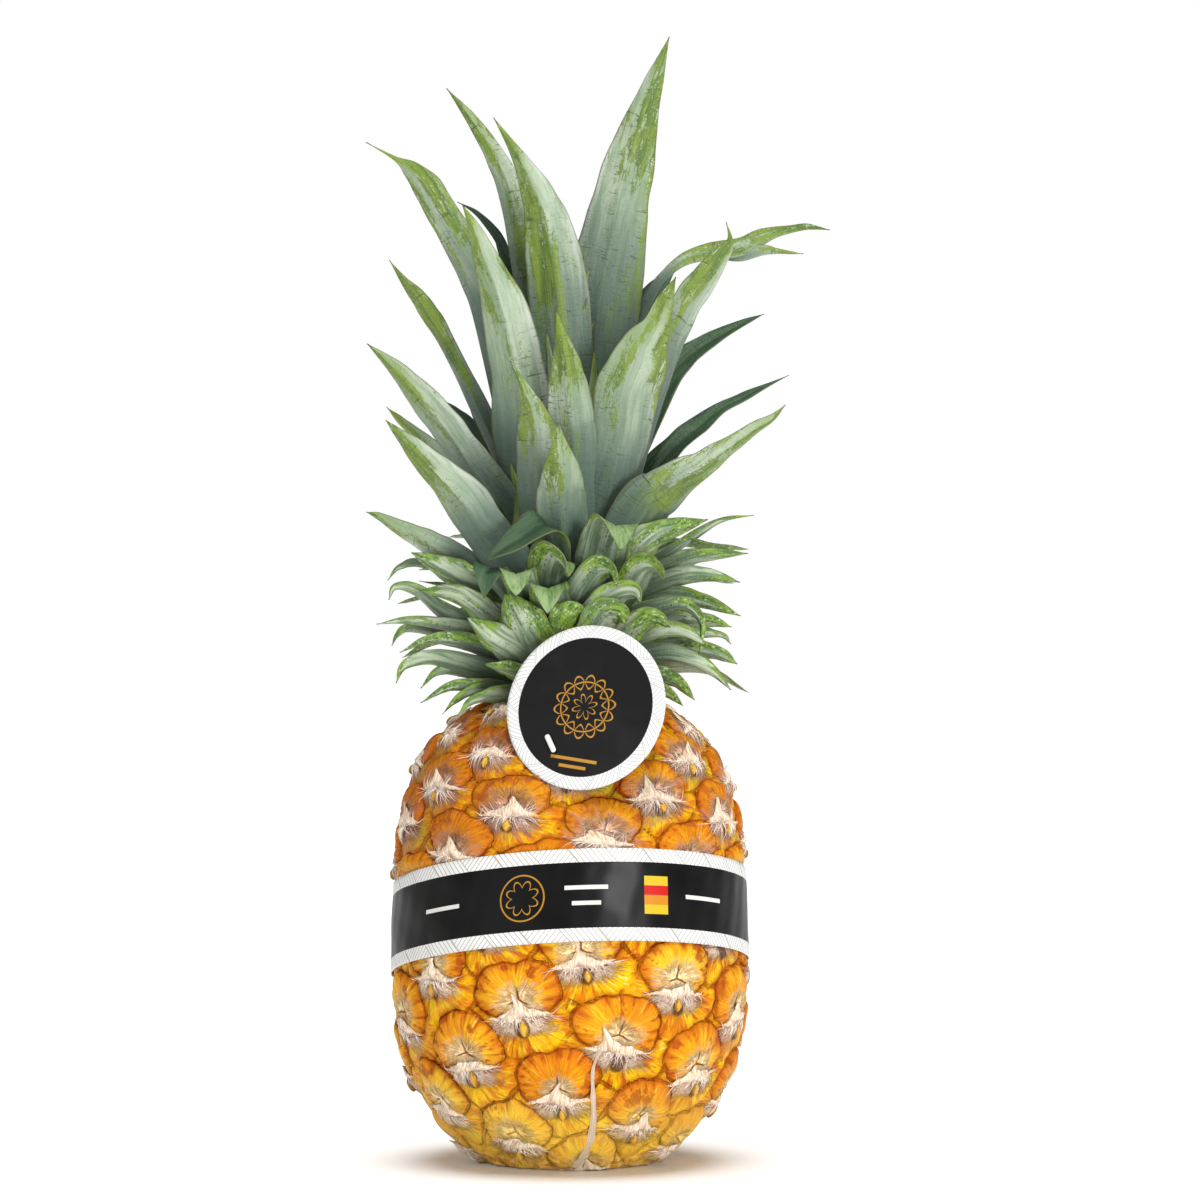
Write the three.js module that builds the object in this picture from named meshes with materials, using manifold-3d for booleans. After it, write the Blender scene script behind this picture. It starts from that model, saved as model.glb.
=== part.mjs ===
// A ripe pineapple with its crown of leaves, a sleeve band round its middle and a round tag pinned
// to its shoulder. Millimetres, +Z up, the front towards -Y. The cut base stands on z = 0.
import * as THREE from "three";
import { ConvexHull } from "three/addons/math/ConvexHull.js";
import { mergeVertices } from "three/addons/utils/BufferGeometryUtils.js";
import Module from "manifold-3d";

const wasm = await Module();
wasm.setup();

// ---- Driving dimensions, mm and degrees ----------------------------------------------------

// The fruit's mean surface, as radius and height from the base to the neck.
const FRUIT_PROFILE = [
  [0, -3],
  [15, -3],
  [26, -2],
  [36.5, 6],
  [45, 15],
  [53.6, 28.5],
  [58.1, 42],
  [60.2, 56],
  [60.6, 70],
  [60.2, 86],
  [59.4, 102],
  [57.6, 119],
  [54, 132],
  [48.6, 143],
  [39.6, 152],
  [29, 158],
  [19, 160.5],
  [0, 160.5],
];
const NECK = { radius: 19, height: 160.5 };
const GOLDEN_ANGLE = 137.508;
// Skin area of one fruitlet, mm2, at heights up the fruit.
const EYE_AREA = [
  [0, 640],
  [50, 885],
  [120, 637],
  [150, 430],
  [163, 380],
];
const KEY_EYE = { azimuth: 16.3, height: 48 };
const EYE_RADIUS_MIN = 27;
const MIDDLE_HEIGHT = 75;
// A fruitlet's relief, and how far out its shoulder and dome stand, as shares of the way to its rim.
const GROOVE_DEPTH = 2.2;
const SHOULDER_RISE = 0.9;
const SHOULDER_AT = 0.74;
const DOME_RISE = 1.6;
const DOME_AT = 0.36;
const PIT_RISE = 0.7;
// How high fruitlets stand where the band presses on them, and how far past its edges it does.
const PRESSED_RISE = 0.6;
const PRESSED_MARGIN = 4;
// The dry bract of a fruitlet: a wedge from its root below the pit to its lifted tip above it.
const BRACT = {
  width: 9,
  heelWidth: 6.3,
  rootAt: -5,
  heelAt: -3.6,
  heelRise: 1.6,
  tipWidth: 2,
  tipAt: 4,
  lift: 3.6,
  thickness: 1.4,
  sunk: 1,
  lowest: 12,
  highest: 152,
};
const STUB = { radius: 13, groove: 1.4, depth: 1.2, sides: 20 };

const CLEARANCE = 0.3;
const BAND = {
  frontHeight: 96.1,
  leftHeight: 80.1,
  rightHeight: 85.5,
  width: 31,
  thickness: 0.6,
  standOff: 1.5,
  seamHalfAngle: 7,
  seamStep: 0.5,
  steps: 48,
  rows: 4,
};
const TAG = {
  radius: 28.4,
  thickness: 0.6,
  centre: [5.4, -53.2, 159.3],
  yaw: -20,
  tilt: -15,
  roll: 8,
  sides: 60,
  // How far past the tag's rim and behind it the leaves are held back.
  leafMargin: 1,
  leafDepth: 14,
};
const PIN = {
  at: [-9, -14.3],
  slant: -38,
  barLength: 7,
  barRadius: 1,
  shankRadius: 0.7,
  shankLength: 9,
  holeRadius: 1.2,
  boreDepth: 10,
  sides: 12,
};

const CROWN_CORE = [
  [0, 161.6],
  [19, 161.6],
  [22, 167],
  [24, 185],
  [22, 203],
  [17, 220],
  [11, 243],
  [5, 270],
  [0, 276],
];
const CORE_SIDES = 14;
const SHOULDER = { lowest: 118, step: 4.1, sides: 24, gap: 1 };
const LEAF_THICKNESS = 1.3;
const EDGE_SHARE = 0.6;
const WIDE_LEAF = 16;
const LEAST_HALF_WIDTH = 0.5;
// How deep a blade is cupped, where along it it is widest, and how its tip is drawn out.
const LONG_BLADE = { cup: 0.13, fewestRings: 4 };
const SHORT_BLADE = { rootShare: 0.72, widest: 0.4, taper: 2, cup: 0.17 };
const SIDE_BLADE = { rootShare: 0.95, widest: 0.12, taper: 1.15, cup: 0.2 };
const CUP_POWER = 1.7;
const OUTER_FACE_DIP = -0.25;
const TURN_STEPS = 8;

// The long leaves: stations along the midrib from root to tip, each a point and the full width
// there, and the azimuth that the outer face looks to at the root (0 is the front, + is to the
// right).
const LONG_LEAVES = [
  [[[5, 2, 225, 22], [9.5, 5, 290, 27], [14.9, 7, 321.8, 24], [17.5, 8, 335.8, 20.6],
    [20.9, 9, 349.8, 17.3], [24.7, 11, 363.9, 12.4], [29.3, 13, 377.9, 7.1], [31.8, 13.5, 385, 3.8],
    [34.9, 14, 393.8, 0]], -6],
  [[[-3, 5, 232, 13], [-13, 10, 300, 12.5], [-20.3, 15, 336.5, 9.4], [-26.3, 17, 351.4, 7.4],
    [-34.8, 20, 365.1, 4.2], [-43.8, 22, 376.5, 0]], -10],
  [[[1, -3, 232, 17], [-3.5, -5, 295, 22], [-7, -5, 320.7, 18], [-10.6, -5.5, 334.5, 12.9],
    [-17.3, -6.5, 348.4, 5.4], [-26.5, -8, 363, 0]], -6],
  [[[-12, 0, 226, 15], [-27, -3, 292.4, 15.5], [-32.5, -4, 308.2, 14.5], [-40, -5, 322, 12.5],
    [-45.7, -6, 331.5, 11.5], [-49.8, -7, 338.7, 10.8], [-55.2, -8, 344.7, 6.5],
    [-60.5, -9, 348.5, 1.8], [-70.7, -10, 354.2, 0]], -18],
  [[[-12, -8, 216, 17], [-16, -15, 250.6, 22], [-17.5, -18, 268, 21], [-20, -20.5, 282, 19],
    [-23.9, -22, 298.4, 15.1], [-29.2, -23, 312.8, 9.5], [-33, -23.5, 323.4, 4.3],
    [-36.9, -24, 331.5, 0]], -14],
  [[[-6, 8, 245, 7], [-17, 22, 305, 6], [-23, 27, 318, 4.6], [-25.1, 29, 323.4, 3.6],
    [-28.7, 31, 328.4, 3], [-34, 33, 333.7, 1.7], [-40.3, 34, 337.3, 0]], 165],
  [[[-13, 0, 222, 8], [-29.6, 5, 257.5, 7.4], [-39, 7, 276.7, 6.4], [-45.7, 9, 289.6, 6.6],
    [-50, 10, 296.3, 7], [-53.6, 10, 301.7, 6.2], [-58.5, 11, 307.6, 2.8],
    [-63.6, 11, 314.9, 0]], -22],
  [[[-14, -5, 213, 18], [-31.2, -12, 237.5, 16], [-37.6, -13, 247.3, 14], [-43.2, -14, 255.3, 13],
    [-49.6, -15, 262.8, 12], [-55.2, -15, 269.4, 9], [-61, -15, 275.8, 6],
    [-70.1, -14, 284.1, 0]], -25],
  [[[-16, -2, 210, 8], [-38.3, 3, 236.7, 8], [-46, 4, 245.7, 7], [-52.9, 4, 252.1, 5.6],
    [-59, 4, 257.6, 3.4], [-64.2, 4, 262.9, 0]], -35],
  [[[-13, -12, 197, 18], [-29.8, -23, 219.3, 18.5], [-36.1, -25, 228.4, 17.2],
    [-41.6, -25.5, 234.8, 15], [-48.9, -26, 242, 10.8], [-55.4, -26, 249.1, 6.6],
    [-59.5, -26, 253.3, 3.4], [-63.1, -26, 257.2, 0]], -22],
  [[[-16, -6, 192, 13], [-39, -11, 209, 12], [-46, -12, 213.4, 10.5], [-52.9, -12, 217, 8.5],
    [-59.5, -12, 220.4, 6], [-66.2, -11.5, 224.2, 3], [-70.6, -11, 225.9, 0]], -30],
  [[[3, -14, 206, 15], [1.5, -24, 247, 17], [0.5, -27, 257.2, 15.8], [-0.5, -30, 269, 13.5],
    [-1.2, -33, 277, 9.7], [-2.5, -35, 284.9, 4.4], [-4.6, -36, 294.6, 0]], 0],
  [[[-9, -14, 202, 14], [-10.5, -28, 234, 16], [-11, -34, 250, 14.5], [-12.1, -38, 257.7, 10.4],
    [-13.8, -41, 263.4, 6.5], [-16.5, -43, 269.7, 3], [-20, -44, 276.6, 0]], -8],
  [[[-2, -18, 196, 17], [-2.7, -34, 226.1, 18], [-2.5, -41, 235.2, 14.2], [-2.8, -47, 242.8, 10.3],
    [-3.1, -49, 249.6, 3.9], [-3.6, -50, 255.6, 0]], 0],
  [[[7, -11, 206, 14], [15, -20, 238, 17], [17.5, -22, 250, 20.5], [20.5, -25, 266.5, 23.7],
    [23.7, -27, 274.8, 20.8], [26.4, -28, 282.5, 16.3], [30.2, -29, 289.6, 10.5],
    [33, -29.5, 298, 6], [36.5, -30, 306.1, 0]], 12],
  [[[12, -5, 212, 14], [25, -11, 258, 13.5], [33.6, -13, 283, 12.5], [38.5, -14, 293.2, 12.5],
    [42.6, -15, 300.3, 12.1], [47, -16, 306, 10], [51.3, -16, 312.2, 8], [54.7, -16, 317, 5.2],
    [55.6, -16, 320.5, 1.8], [54.1, -16, 326, 0]], 25],
  [[[8, 8, 238, 6], [22, 12, 288, 4.5], [29.9, 14, 305.2, 3.8], [34.5, 16, 311, 3.6],
    [38.7, 18, 314.7, 4.2], [43, 20, 317, 5], [50.1, 22, 319, 6.4], [60.2, 24, 320.6, 6.8],
    [67, 26, 324, 6], [72.6, 28, 326.1, 4.1], [78, 29, 327.2, 2.8], [84.4, 30, 328.2, 2.3],
    [92.2, 30, 327, 0]], 10],
  [[[51, 24, 318.5, 4], [60.2, 25, 318.3, 6], [68.7, 26, 319.5, 3.8], [72.7, 27, 319.3, 2.3],
    [78, 28, 318.8, 1.2], [82.7, 29, 318.4, 0]], 10],
  [[[10, 12, 240, 12], [20, 18, 281, 12], [27, 21, 299, 10], [32, 23, 307, 6],
    [37, 26, 312, 0]], 170],
  [[[11, 8, 222, 13], [24, 16, 251, 13], [34.3, 20, 272.6, 12], [40.4, 24, 279.8, 10.8],
    [45.9, 26, 284.3, 9], [53, 28, 289, 6.6], [60.2, 31, 293.1, 4], [69, 34, 297.4, 0]], 150],
  [[[11, 6, 206, 13], [24, 15, 232, 12], [33.4, 18, 245.2, 10.8], [39.9, 22, 252, 9.8],
    [45.9, 25, 256.9, 8.6], [53, 27, 262.8, 6.2], [60.3, 30, 266.7, 4.9], [67.5, 33, 270.5, 2.6],
    [77.8, 34, 275.5, 0]], 150],
  [[[9, -12, 196, 18], [25, -22, 225.2, 20], [31.6, -24, 231.2, 18.4], [38.7, -25, 237.3, 15],
    [45.4, -25.5, 241.2, 11], [51.2, -26, 245.6, 8.4], [57.2, -26, 249.6, 6.4],
    [63.6, -26, 254.3, 4.8], [69.7, -26, 257.9, 2.7], [74.2, -26, 262.4, 0]], 20],
  [[[-2, 8, 228, 12], [-5, 24, 280, 13], [-7, 30, 308, 9], [-9, 36, 334, 0]], 185],
  [[[8, 12, 226, 12.5], [16, 32, 290, 14], [20, 40, 319, 9.5], [24, 48, 345, 0]], 165],
  [[[4, 10, 222, 12.5], [7, 30, 262, 14], [8, 42, 280, 9.5], [8, 54, 296, 0]], 175],
  [[[-8, 10, 215, 13], [-16, 32, 255, 15], [-20, 44, 273, 10], [-24, 56, 290, 0]], 203],
  [[[10, 10, 210, 13], [20, 32, 245, 15], [24, 44, 260, 10], [27, 56, 273, 0]], 153],
  [[[0, 14, 204, 14], [-2, 38, 232, 15.5], [-3, 51, 244, 10.5], [-4, 64, 254, 0]], 182],
  [[[-12, 10, 206, 12], [-26, 34, 228, 13], [-31, 45, 237, 9], [-35, 56, 245, 0]], 215],
  [[[12, 10, 204, 11], [28, 34, 225, 12], [33, 45, 232, 8], [37, 56, 238, 0]], 143],
  [[[-12, 4, 212, 12], [-27, 12, 241, 11], [-35.4, 16, 254.2, 9.4], [-41.2, 18, 260.2, 6.8],
    [-47.5, 19, 265.4, 3.2], [-52, 19, 268, 0]], 160],
  [[[-10, 4, 215, 10], [-22.4, 10, 243, 8.6], [-31.8, 13, 262, 6], [-36.8, 15, 275, 2.2],
    [-38.8, 15, 280, 0]], 160],
];

// The short leaves low on the crown that show at the front and the sides: points along the midrib,
// full width and azimuth. The ones in the middle arch over towards the front, so their tips show
// the inner face.
const SHORT_LEAVES = [
  [[[-18, -12, 196], [-38, -14, 203], [-54.8, -13, 211.8]], 12, -38],
  [[[-16, -14, 184], [-27, -19, 189], [-38, -19, 196.5], [-52, -17, 198.8]], 10, -30],
  [[[-10, -20, 168], [-19, -30, 177.5], [-27.5, -32.5, 183], [-35, -32, 189.5]], 14, -18],
  [[[-8, -22, 170], [-14, -34, 182], [-18.5, -36.5, 190.5], [-22, -35, 197.8]], 18, -12],
  [[[-12, -18, 166], [-19, -28, 170], [-29, -30, 173.5]], 9, -20],
  [[[-4, -18, 194], [-6, -29, 214], [-9, -35, 220.8], [-18.5, -40, 215], [-28.5, -42, 208.6]], 16, -62],
  [[[-6, -22, 186], [-7, -33, 201], [-5, -38.5, 209.5], [-1.5, -43, 207.5], [-0.3, -44, 203]], 17, -5],
  [[[-16, -16, 190], [-25, -30, 202], [-27, -36, 206], [-28, -40, 203], [-29, -42, 196]], 12, -30],
  [[[-10, -20, 186], [-16, -33, 198], [-18, -38, 204], [-18, -42, 202], [-18, -43, 196.5]], 13, -18],
  [[[-3, -23, 182], [-6, -35, 193], [-7, -39, 199], [-7, -43, 197], [-7.3, -44, 190.5]], 14, -5],
  [[[-3, -24, 176], [-2, -36, 186], [1, -39, 191], [5, -40, 193.5]], 12, 0],
  [[[9, -17, 190], [11, -31, 205], [14.5, -37, 219], [16.5, -42, 219.5], [17.5, -45, 212]], 19, 10],
  [[[-1, -24, 184], [3, -36, 196], [9, -40, 205], [14, -43, 205.5], [16.2, -44.5, 200]], 11, 5],
  [[[13, -20, 188], [20, -33, 198], [25, -38, 205.5], [30, -40.5, 205.5], [32.5, -42, 202]], 13, 20],
  [[[4, -25, 182], [9, -38, 191], [16, -41, 197], [22, -43, 198], [24.5, -44.5, 194.5]], 11, 10],
  [[[3, -24, 172], [8, -37, 183], [12, -40, 190], [17, -41, 190.5], [19, -41, 187]], 13, 10],
  [[[12, -21, 172], [20, -33, 182.5], [28, -37, 188.5], [34.5, -37, 186]], 12, 22],
  [[[12, -16, 198], [22.7, -20, 210.5], [31, -20, 217.5], [47.8, -16, 223.2]], 13.5, 30],
  [[[16, -6, 200], [35, -8, 207], [45.4, -8, 210.2], [62, -6, 211.6]], 8, 45],
  [[[16, -10, 194], [34, -14, 202], [46, -14, 203.8], [59, -12, 201.5]], 8, 38],
  [[[16, -6, 190.5], [32, -9, 196], [45.5, -10, 194.8], [59.3, -9, 189.8]], 8.5, 42],
  [[[17, -10, 181], [36, -14, 188], [47.5, -14, 188], [56, -13, 186]], 7, 40],
  [[[15, -18, 176], [27, -26, 183], [38, -26, 184], [47, -24, 180]], 9, 32],
  [[[17, -12, 174], [34, -16, 178.5], [49.6, -16, 177], [58, -15, 173.2]], 8, 38],
  [[[14, -18, 166], [27, -26, 169.5], [36, -26, 167.5], [43, -25, 161]], 8, 30],
  [[[14, -20, 164], [26, -29, 166], [33, -30, 163.5], [39, -31, 159]], 7, 30],
];

// The narrow leaves at the two sides, drawn out into long curved tips.
const SIDE_LEAVES = [
  [[[-18, -2, 198], [-49, -3, 207.6], [-59, -3, 206.8], [-63.5, -3, 202.2]], 5, -40],
  [[[-18, 2, 192], [-38, 1, 199], [-52.7, 0, 202]], 6, -60],
  [[[-18, -8, 180], [-42, -10, 190], [-53, -10, 198.2], [-60.5, -9, 199.8], [-62.8, -9, 195.4]], 8, -40],
  [[[-18, -2, 184], [-40, -4, 188], [-49.9, -4, 194.3]], 6, -50],
  [[[-18, -8, 180], [-36, -12, 185], [-55, -12, 188], [-67, -10, 187]], 8, -40],
  [[[-18, -2, 177], [-46, -4, 184], [-56, -4, 185.3], [-60, -4, 183], [-62, -4, 179.4]], 6, -50],
  [[[-17, -14, 174], [-36, -17, 180.5], [-48, -17, 181.7], [-58.7, -16, 177.2]], 9, -34],
  [[[-17, -12, 167], [-36, -17, 172.5], [-48, -17, 175], [-57, -16, 172.5], [-60, -15, 166.7]], 10, -34],
  [[[-18, -10, 168], [-38, -14, 171], [-46, -14, 170.2], [-51.6, -13, 164.8]], 7, -40],
  [[[-17, -13, 161], [-30, -18, 164.5], [-41, -18, 165.3], [-51.5, -17, 159.8]], 9, -34],
  [[[-17, -12, 163], [-31, -20, 164], [-38.5, -22, 161], [-43.8, -23, 156]], 7, -34],
  [[[-14, -17, 162], [-24, -25, 162.5], [-33, -28, 160.5], [-38.5, -29, 155.5]], 9, -26],
  [[[16, 0, 200], [31, 2, 209], [42, 3, 216.5], [53, 3, 223], [64.3, 3, 225]], 8, 60],
  [[[15, -18, 184], [28, -24, 191.5], [39, -25, 193.5], [45.4, -24, 187.5], [44.5, -23, 176.8]], 9, 30],
  [[[17, -6, 180], [38, -8, 183], [52, -8, 183.2], [56, -8, 180]], 6, 45],
  [[[15, -17, 171], [31, -22, 175.3], [42, -22, 174], [50, -20, 170], [55.7, -19, 164.3]], 12, 34],
];

// The short leaves out of sight behind, placed round the back of the stem by rule.
const BACK_LEAVES = {
  count: 24,
  firstHeight: 166,
  lastHeight: 203,
  spread: 84,
  rootRadius: 17,
  reach: 44,
  furtherReach: 10,
  tipReach: 10,
  bendsAt: [0.62, 0.92],
  width: 10,
  lowLift: 4,
  highLift: 15,
  droop: 7,
  seed: 11,
};

// The long dry fibre that hangs down the front of the fruit, as azimuth, height and width.
const FIBRE = {
  points: [
    [10.5, 45.5],
    [8.2, 38],
    [8.6, 29],
    [9.3, 21],
    [9.2, 13.5],
    [7.2, 7],
    [3.4, 1.5],
  ],
  standOff: 2.4,
  topWidth: 1.2,
  bottomWidth: 4.5,
  thickness: 1.4,
  steps: 10,
};

// ---- Solids --------------------------------------------------------------------------------

const radians = THREE.MathUtils.degToRad;
const GRID = 0.001;
const FILL_RADIUS = 0.25;
const FILL_ROUNDS = 6;

// A closed three.js geometry as a manifold-3d solid, with its faces turned outwards.
function solidOf(geometry) {
  const bare = geometry.clone();
  bare.deleteAttribute("normal");
  bare.deleteAttribute("uv");
  const merged = mergeVertices(bare, 1e-4);
  const vertProperties = new Float32Array(merged.attributes.position.array);
  const triVerts = new Uint32Array(merged.index.array);
  const solid = new wasm.Manifold(new wasm.Mesh({ numProp: 3, vertProperties, triVerts }));
  if (solid.volume() > 0) return solid;
  triVerts.reverse();
  return new wasm.Manifold(new wasm.Mesh({ numProp: 3, vertProperties, triVerts }));
}

function largestBody(solid) {
  return solid.decompose().sort((a, b) => b.volume() - a.volume())[0];
}

function meshGeometry(solid) {
  const mesh = solid.getMesh();
  const geometry = new THREE.BufferGeometry();
  geometry.setAttribute("position", new THREE.BufferAttribute(mesh.vertProperties, 3));
  geometry.setIndex(new THREE.BufferAttribute(mesh.triVerts, 1));
  return geometry;
}

// Edges where four faces meet, as pairs of points: the solid only touches itself there.
function pinchedEdges(geometry) {
  const { position } = geometry.attributes;
  const corners = Array.from(geometry.index.array, (i) => {
    return new THREE.Vector3().fromBufferAttribute(position, i);
  });
  const names = corners.map((corner) => corner.toArray().map((x) => x.toFixed(3)).join());
  const edges = new Map();
  corners.forEach((corner, i) => {
    const next = i % 3 === 2 ? i - 2 : i + 1;
    const name = [names[i], names[next]].sort().join(" ");
    const edge = edges.get(name) ?? { ends: [corner, corners[next]], faces: 0 };
    edge.faces++;
    edges.set(name, edge);
  });
  return [...edges.values()].filter((edge) => edge.faces > 2).map((edge) => edge.ends);
}

// A three-sided rod between two points, a little longer than the gap between them.
function rodSolid([from, to], radius) {
  const along = to.clone().sub(from).normalize();
  const side = new THREE.Vector3(1, 0.3, 0.2).cross(along).normalize();
  const other = along.clone().cross(side);
  const ring = (centre, past) =>
    [0, 120, 240].map((turn) =>
      centre
        .clone()
        .addScaledVector(along, past)
        .addScaledVector(side, radius * Math.cos(radians(turn)))
        .addScaledVector(other, radius * Math.sin(radians(turn))),
    );
  return ringSolid([ring(from, -radius), ring(to, radius)]);
}

// The largest closed body of a solid, as a three.js geometry on a fine grid. Loose scraps and
// sealed hollows are dropped, and edges where it only touches itself are filled by thin rods.
function geometryOf(solid) {
  let whole = largestBody(solid);
  for (let round = 0; ; round++) {
    const geometry = meshGeometry(whole);
    const grid = geometry.attributes.position.array.map((x) => Math.round(x / GRID) * GRID);
    geometry.setAttribute("position", new THREE.BufferAttribute(grid, 3));
    whole = largestBody(solidOf(geometry));
    const clean = meshGeometry(whole);
    const pinches = pinchedEdges(clean);
    if (!pinches.length || round === FILL_ROUNDS) {
      clean.computeVertexNormals();
      return clean;
    }
    pinches.forEach((ends) => {
      whole = whole.add(rodSolid(ends, FILL_RADIUS));
    });
  }
}

// A solid from a stack of equal closed rings of points, with a flat cap at each end.
function ringSolid(rings) {
  const size = rings[0].length;
  const index = [];
  for (let i = 0; i < rings.length - 1; i++) {
    for (let j = 0; j < size; j++) {
      const a = i * size + j;
      const b = i * size + ((j + 1) % size);
      index.push(a, b, b + size, a, b + size, a + size);
    }
  }
  const last = (rings.length - 1) * size;
  for (let j = 1; j < size - 1; j++) {
    index.push(0, j + 1, j, last, last + j, last + j + 1);
  }
  const geometry = new THREE.BufferGeometry().setFromPoints(rings.flat());
  geometry.setIndex(index);
  return solidOf(geometry);
}

function materialOf(color, roughness) {
  return new THREE.MeshStandardMaterial({ color, roughness, metalness: 0 });
}

function meshOf(name, solid, material) {
  const mesh = new THREE.Mesh(geometryOf(solid), material);
  mesh.name = name;
  return mesh;
}

// ---- The fruit's surface -------------------------------------------------------------------

const profile = new THREE.CatmullRomCurve3(
  FRUIT_PROFILE.map(([r, z]) => new THREE.Vector3(r, 0, z)),
  false,
  "catmullrom",
  0.5,
);
const PROFILE_STEPS = 600;

// Samples of the profile: radius r, height z, fruitlet count n and stretched latitude q, in which
// the surface unrolls onto a sphere with no change of angles.
const samples = [];
for (let i = 0; i <= PROFILE_STEPS; i++) {
  const point = profile.getPointAt(i / PROFILE_STEPS);
  const before = samples[i - 1];
  const sample = { r: Math.max(point.x, 0.05), z: point.z, n: 0, q: 0 };
  if (before) {
    const step = Math.hypot(sample.r - before.r, sample.z - before.z);
    const middle = (sample.r + before.r) / 2;
    sample.n = before.n + (2 * Math.PI * middle * step) / eyeArea(sample.z);
    sample.q = before.q + step / middle;
  }
  samples.push(sample);
}

function eyeArea(height) {
  let k = 1;
  while (k < EYE_AREA.length - 1 && height > EYE_AREA[k][0]) k++;
  const [[z0, a0], [z1, a1]] = [EYE_AREA[k - 1], EYE_AREA[k]];
  return THREE.MathUtils.mapLinear(THREE.MathUtils.clamp(height, z0, z1), z0, z1, a0, a1);
}

// The place along the profile, in samples, where a rising quantity reaches a value.
function placeWhere(key, value) {
  let low = 0;
  let high = PROFILE_STEPS;
  while (high - low > 1) {
    const middle = (low + high) >> 1;
    if (samples[middle][key] < value) low = middle;
    else high = middle;
  }
  const [a, b] = [samples[low][key], samples[high][key]];
  return low + THREE.MathUtils.clamp((value - a) / (b - a), 0, 1);
}

function sampleAt(place) {
  const i = Math.min(Math.floor(place), PROFILE_STEPS - 1);
  const f = place - i;
  const [a, b] = [samples[i], samples[i + 1]];
  const length = Math.hypot(b.r - a.r, b.z - a.z);
  return {
    r: a.r + (b.r - a.r) * f,
    z: a.z + (b.z - a.z) * f,
    n: a.n + (b.n - a.n) * f,
    q: a.q + (b.q - a.q) * f,
    out: (b.z - a.z) / length,
    up: (a.r - b.r) / length,
  };
}

// A point that stands off the mean surface, at an azimuth in degrees.
function surfacePoint(azimuth, place, rise) {
  const s = sampleAt(place);
  const radius = Math.max(s.r + s.out * rise, 0);
  const a = radians(azimuth);
  return new THREE.Vector3(radius * Math.sin(a), -radius * Math.cos(a), s.z + s.up * rise);
}

function placeAtHeight(height) {
  return placeWhere("z", height);
}

// The height of the band's middle line at an azimuth: the band sits a little askew.
function bandHeight(azimuth) {
  const middle = (BAND.leftHeight + BAND.rightHeight) / 2;
  const front = BAND.frontHeight - middle;
  const right = (BAND.rightHeight - BAND.leftHeight) / 2;
  const a = radians(azimuth);
  return middle + front * Math.cos(a) + right * Math.sin(a);
}

function nearBand(azimuth, height, margin) {
  return Math.abs(height - bandHeight(azimuth)) < BAND.width / 2 + margin;
}

// ---- Fruitlets -----------------------------------------------------------------------------

// Fruitlets follow one another up the fruit, each turned by the golden angle from the last.
function placeEyes() {
  const keyCount = sampleAt(placeAtHeight(KEY_EYE.height)).n;
  const eyes = [];
  const first = -Math.floor(keyCount);
  const last = Math.floor(samples[PROFILE_STEPS].n - keyCount);
  for (let k = first; k <= last; k++) {
    const place = placeWhere("n", keyCount + k);
    const s = sampleAt(place);
    if (s.r >= EYE_RADIUS_MIN) {
      eyes.push({ azimuth: KEY_EYE.azimuth + k * GOLDEN_ANGLE, place, z: s.z, q: s.q });
    }
  }
  return eyes;
}

const eyes = placeEyes();
const middleQ = sampleAt(placeAtHeight(MIDDLE_HEIGHT)).q;

function onSphere(azimuth, q) {
  const a = radians(azimuth);
  const height = Math.tanh(q - middleQ);
  const ring = 1 / Math.cosh(q - middleQ);
  return new THREE.Vector3(ring * Math.sin(a), -ring * Math.cos(a), height);
}

// The corners that each fruitlet shares with its neighbours: the faces of the convex hull of the
// fruitlets on the sphere are their closest threes, and each face's normal is such a corner.
function findCells() {
  const points = eyes.map((eye) => onSphere(eye.azimuth, eye.q));
  points.push(new THREE.Vector3(0, 0, -1), new THREE.Vector3(0, 0, 1));
  const order = new Map(points.map((point, i) => [point, i]));
  const cells = points.map(() => []);
  new ConvexHull().setFromPoints(points).faces.forEach((face) => {
    const n = face.normal;
    const corner = {
      azimuth: THREE.MathUtils.radToDeg(Math.atan2(n.x, -n.y)),
      place: placeWhere("q", middleQ + Math.atanh(n.z)),
    };
    for (let k = 0; k < 3; k++) {
      cells[order.get(face.getEdge(k).head().point)].push({ corner, normal: n });
    }
  });
  cells.forEach((cell, i) => {
    const axis = points[i];
    const east = new THREE.Vector3(0, 0, 1).cross(axis);
    if (east.length() < 1e-6) east.set(1, 0, 0);
    east.normalize();
    const north = axis.clone().cross(east);
    cell.sort(
      (a, b) =>
        Math.atan2(a.normal.dot(north), a.normal.dot(east)) -
        Math.atan2(b.normal.dot(north), b.normal.dot(east)),
    );
  });
  return cells.map((cell) => cell.map((entry) => entry.corner));
}

// One fruitlet as rings from its groove over its shoulder and dome to its pit.
function eyeRings(azimuth, place, corners) {
  const between = (corner, f, rise) => {
    const turn = ((((corner.azimuth - azimuth) % 360) + 540) % 360) - 180;
    return pressedPoint(azimuth + turn * f, place + (corner.place - place) * f, rise);
  };
  return [
    corners.map((corner) => surfacePoint(corner.azimuth, corner.place, -GROOVE_DEPTH)),
    corners.map((corner) => between(corner, SHOULDER_AT, SHOULDER_RISE)),
    corners.map((corner) => between(corner, DOME_AT, DOME_RISE)),
    [pressedPoint(azimuth, place, PIT_RISE)],
  ];
}

// A point of a fruitlet, held down where the band presses on it.
function pressedPoint(azimuth, place, rise) {
  const pressed = nearBand(azimuth, sampleAt(place).z, PRESSED_MARGIN);
  return surfacePoint(azimuth, place, pressed ? Math.min(rise, PRESSED_RISE) : rise);
}

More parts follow.
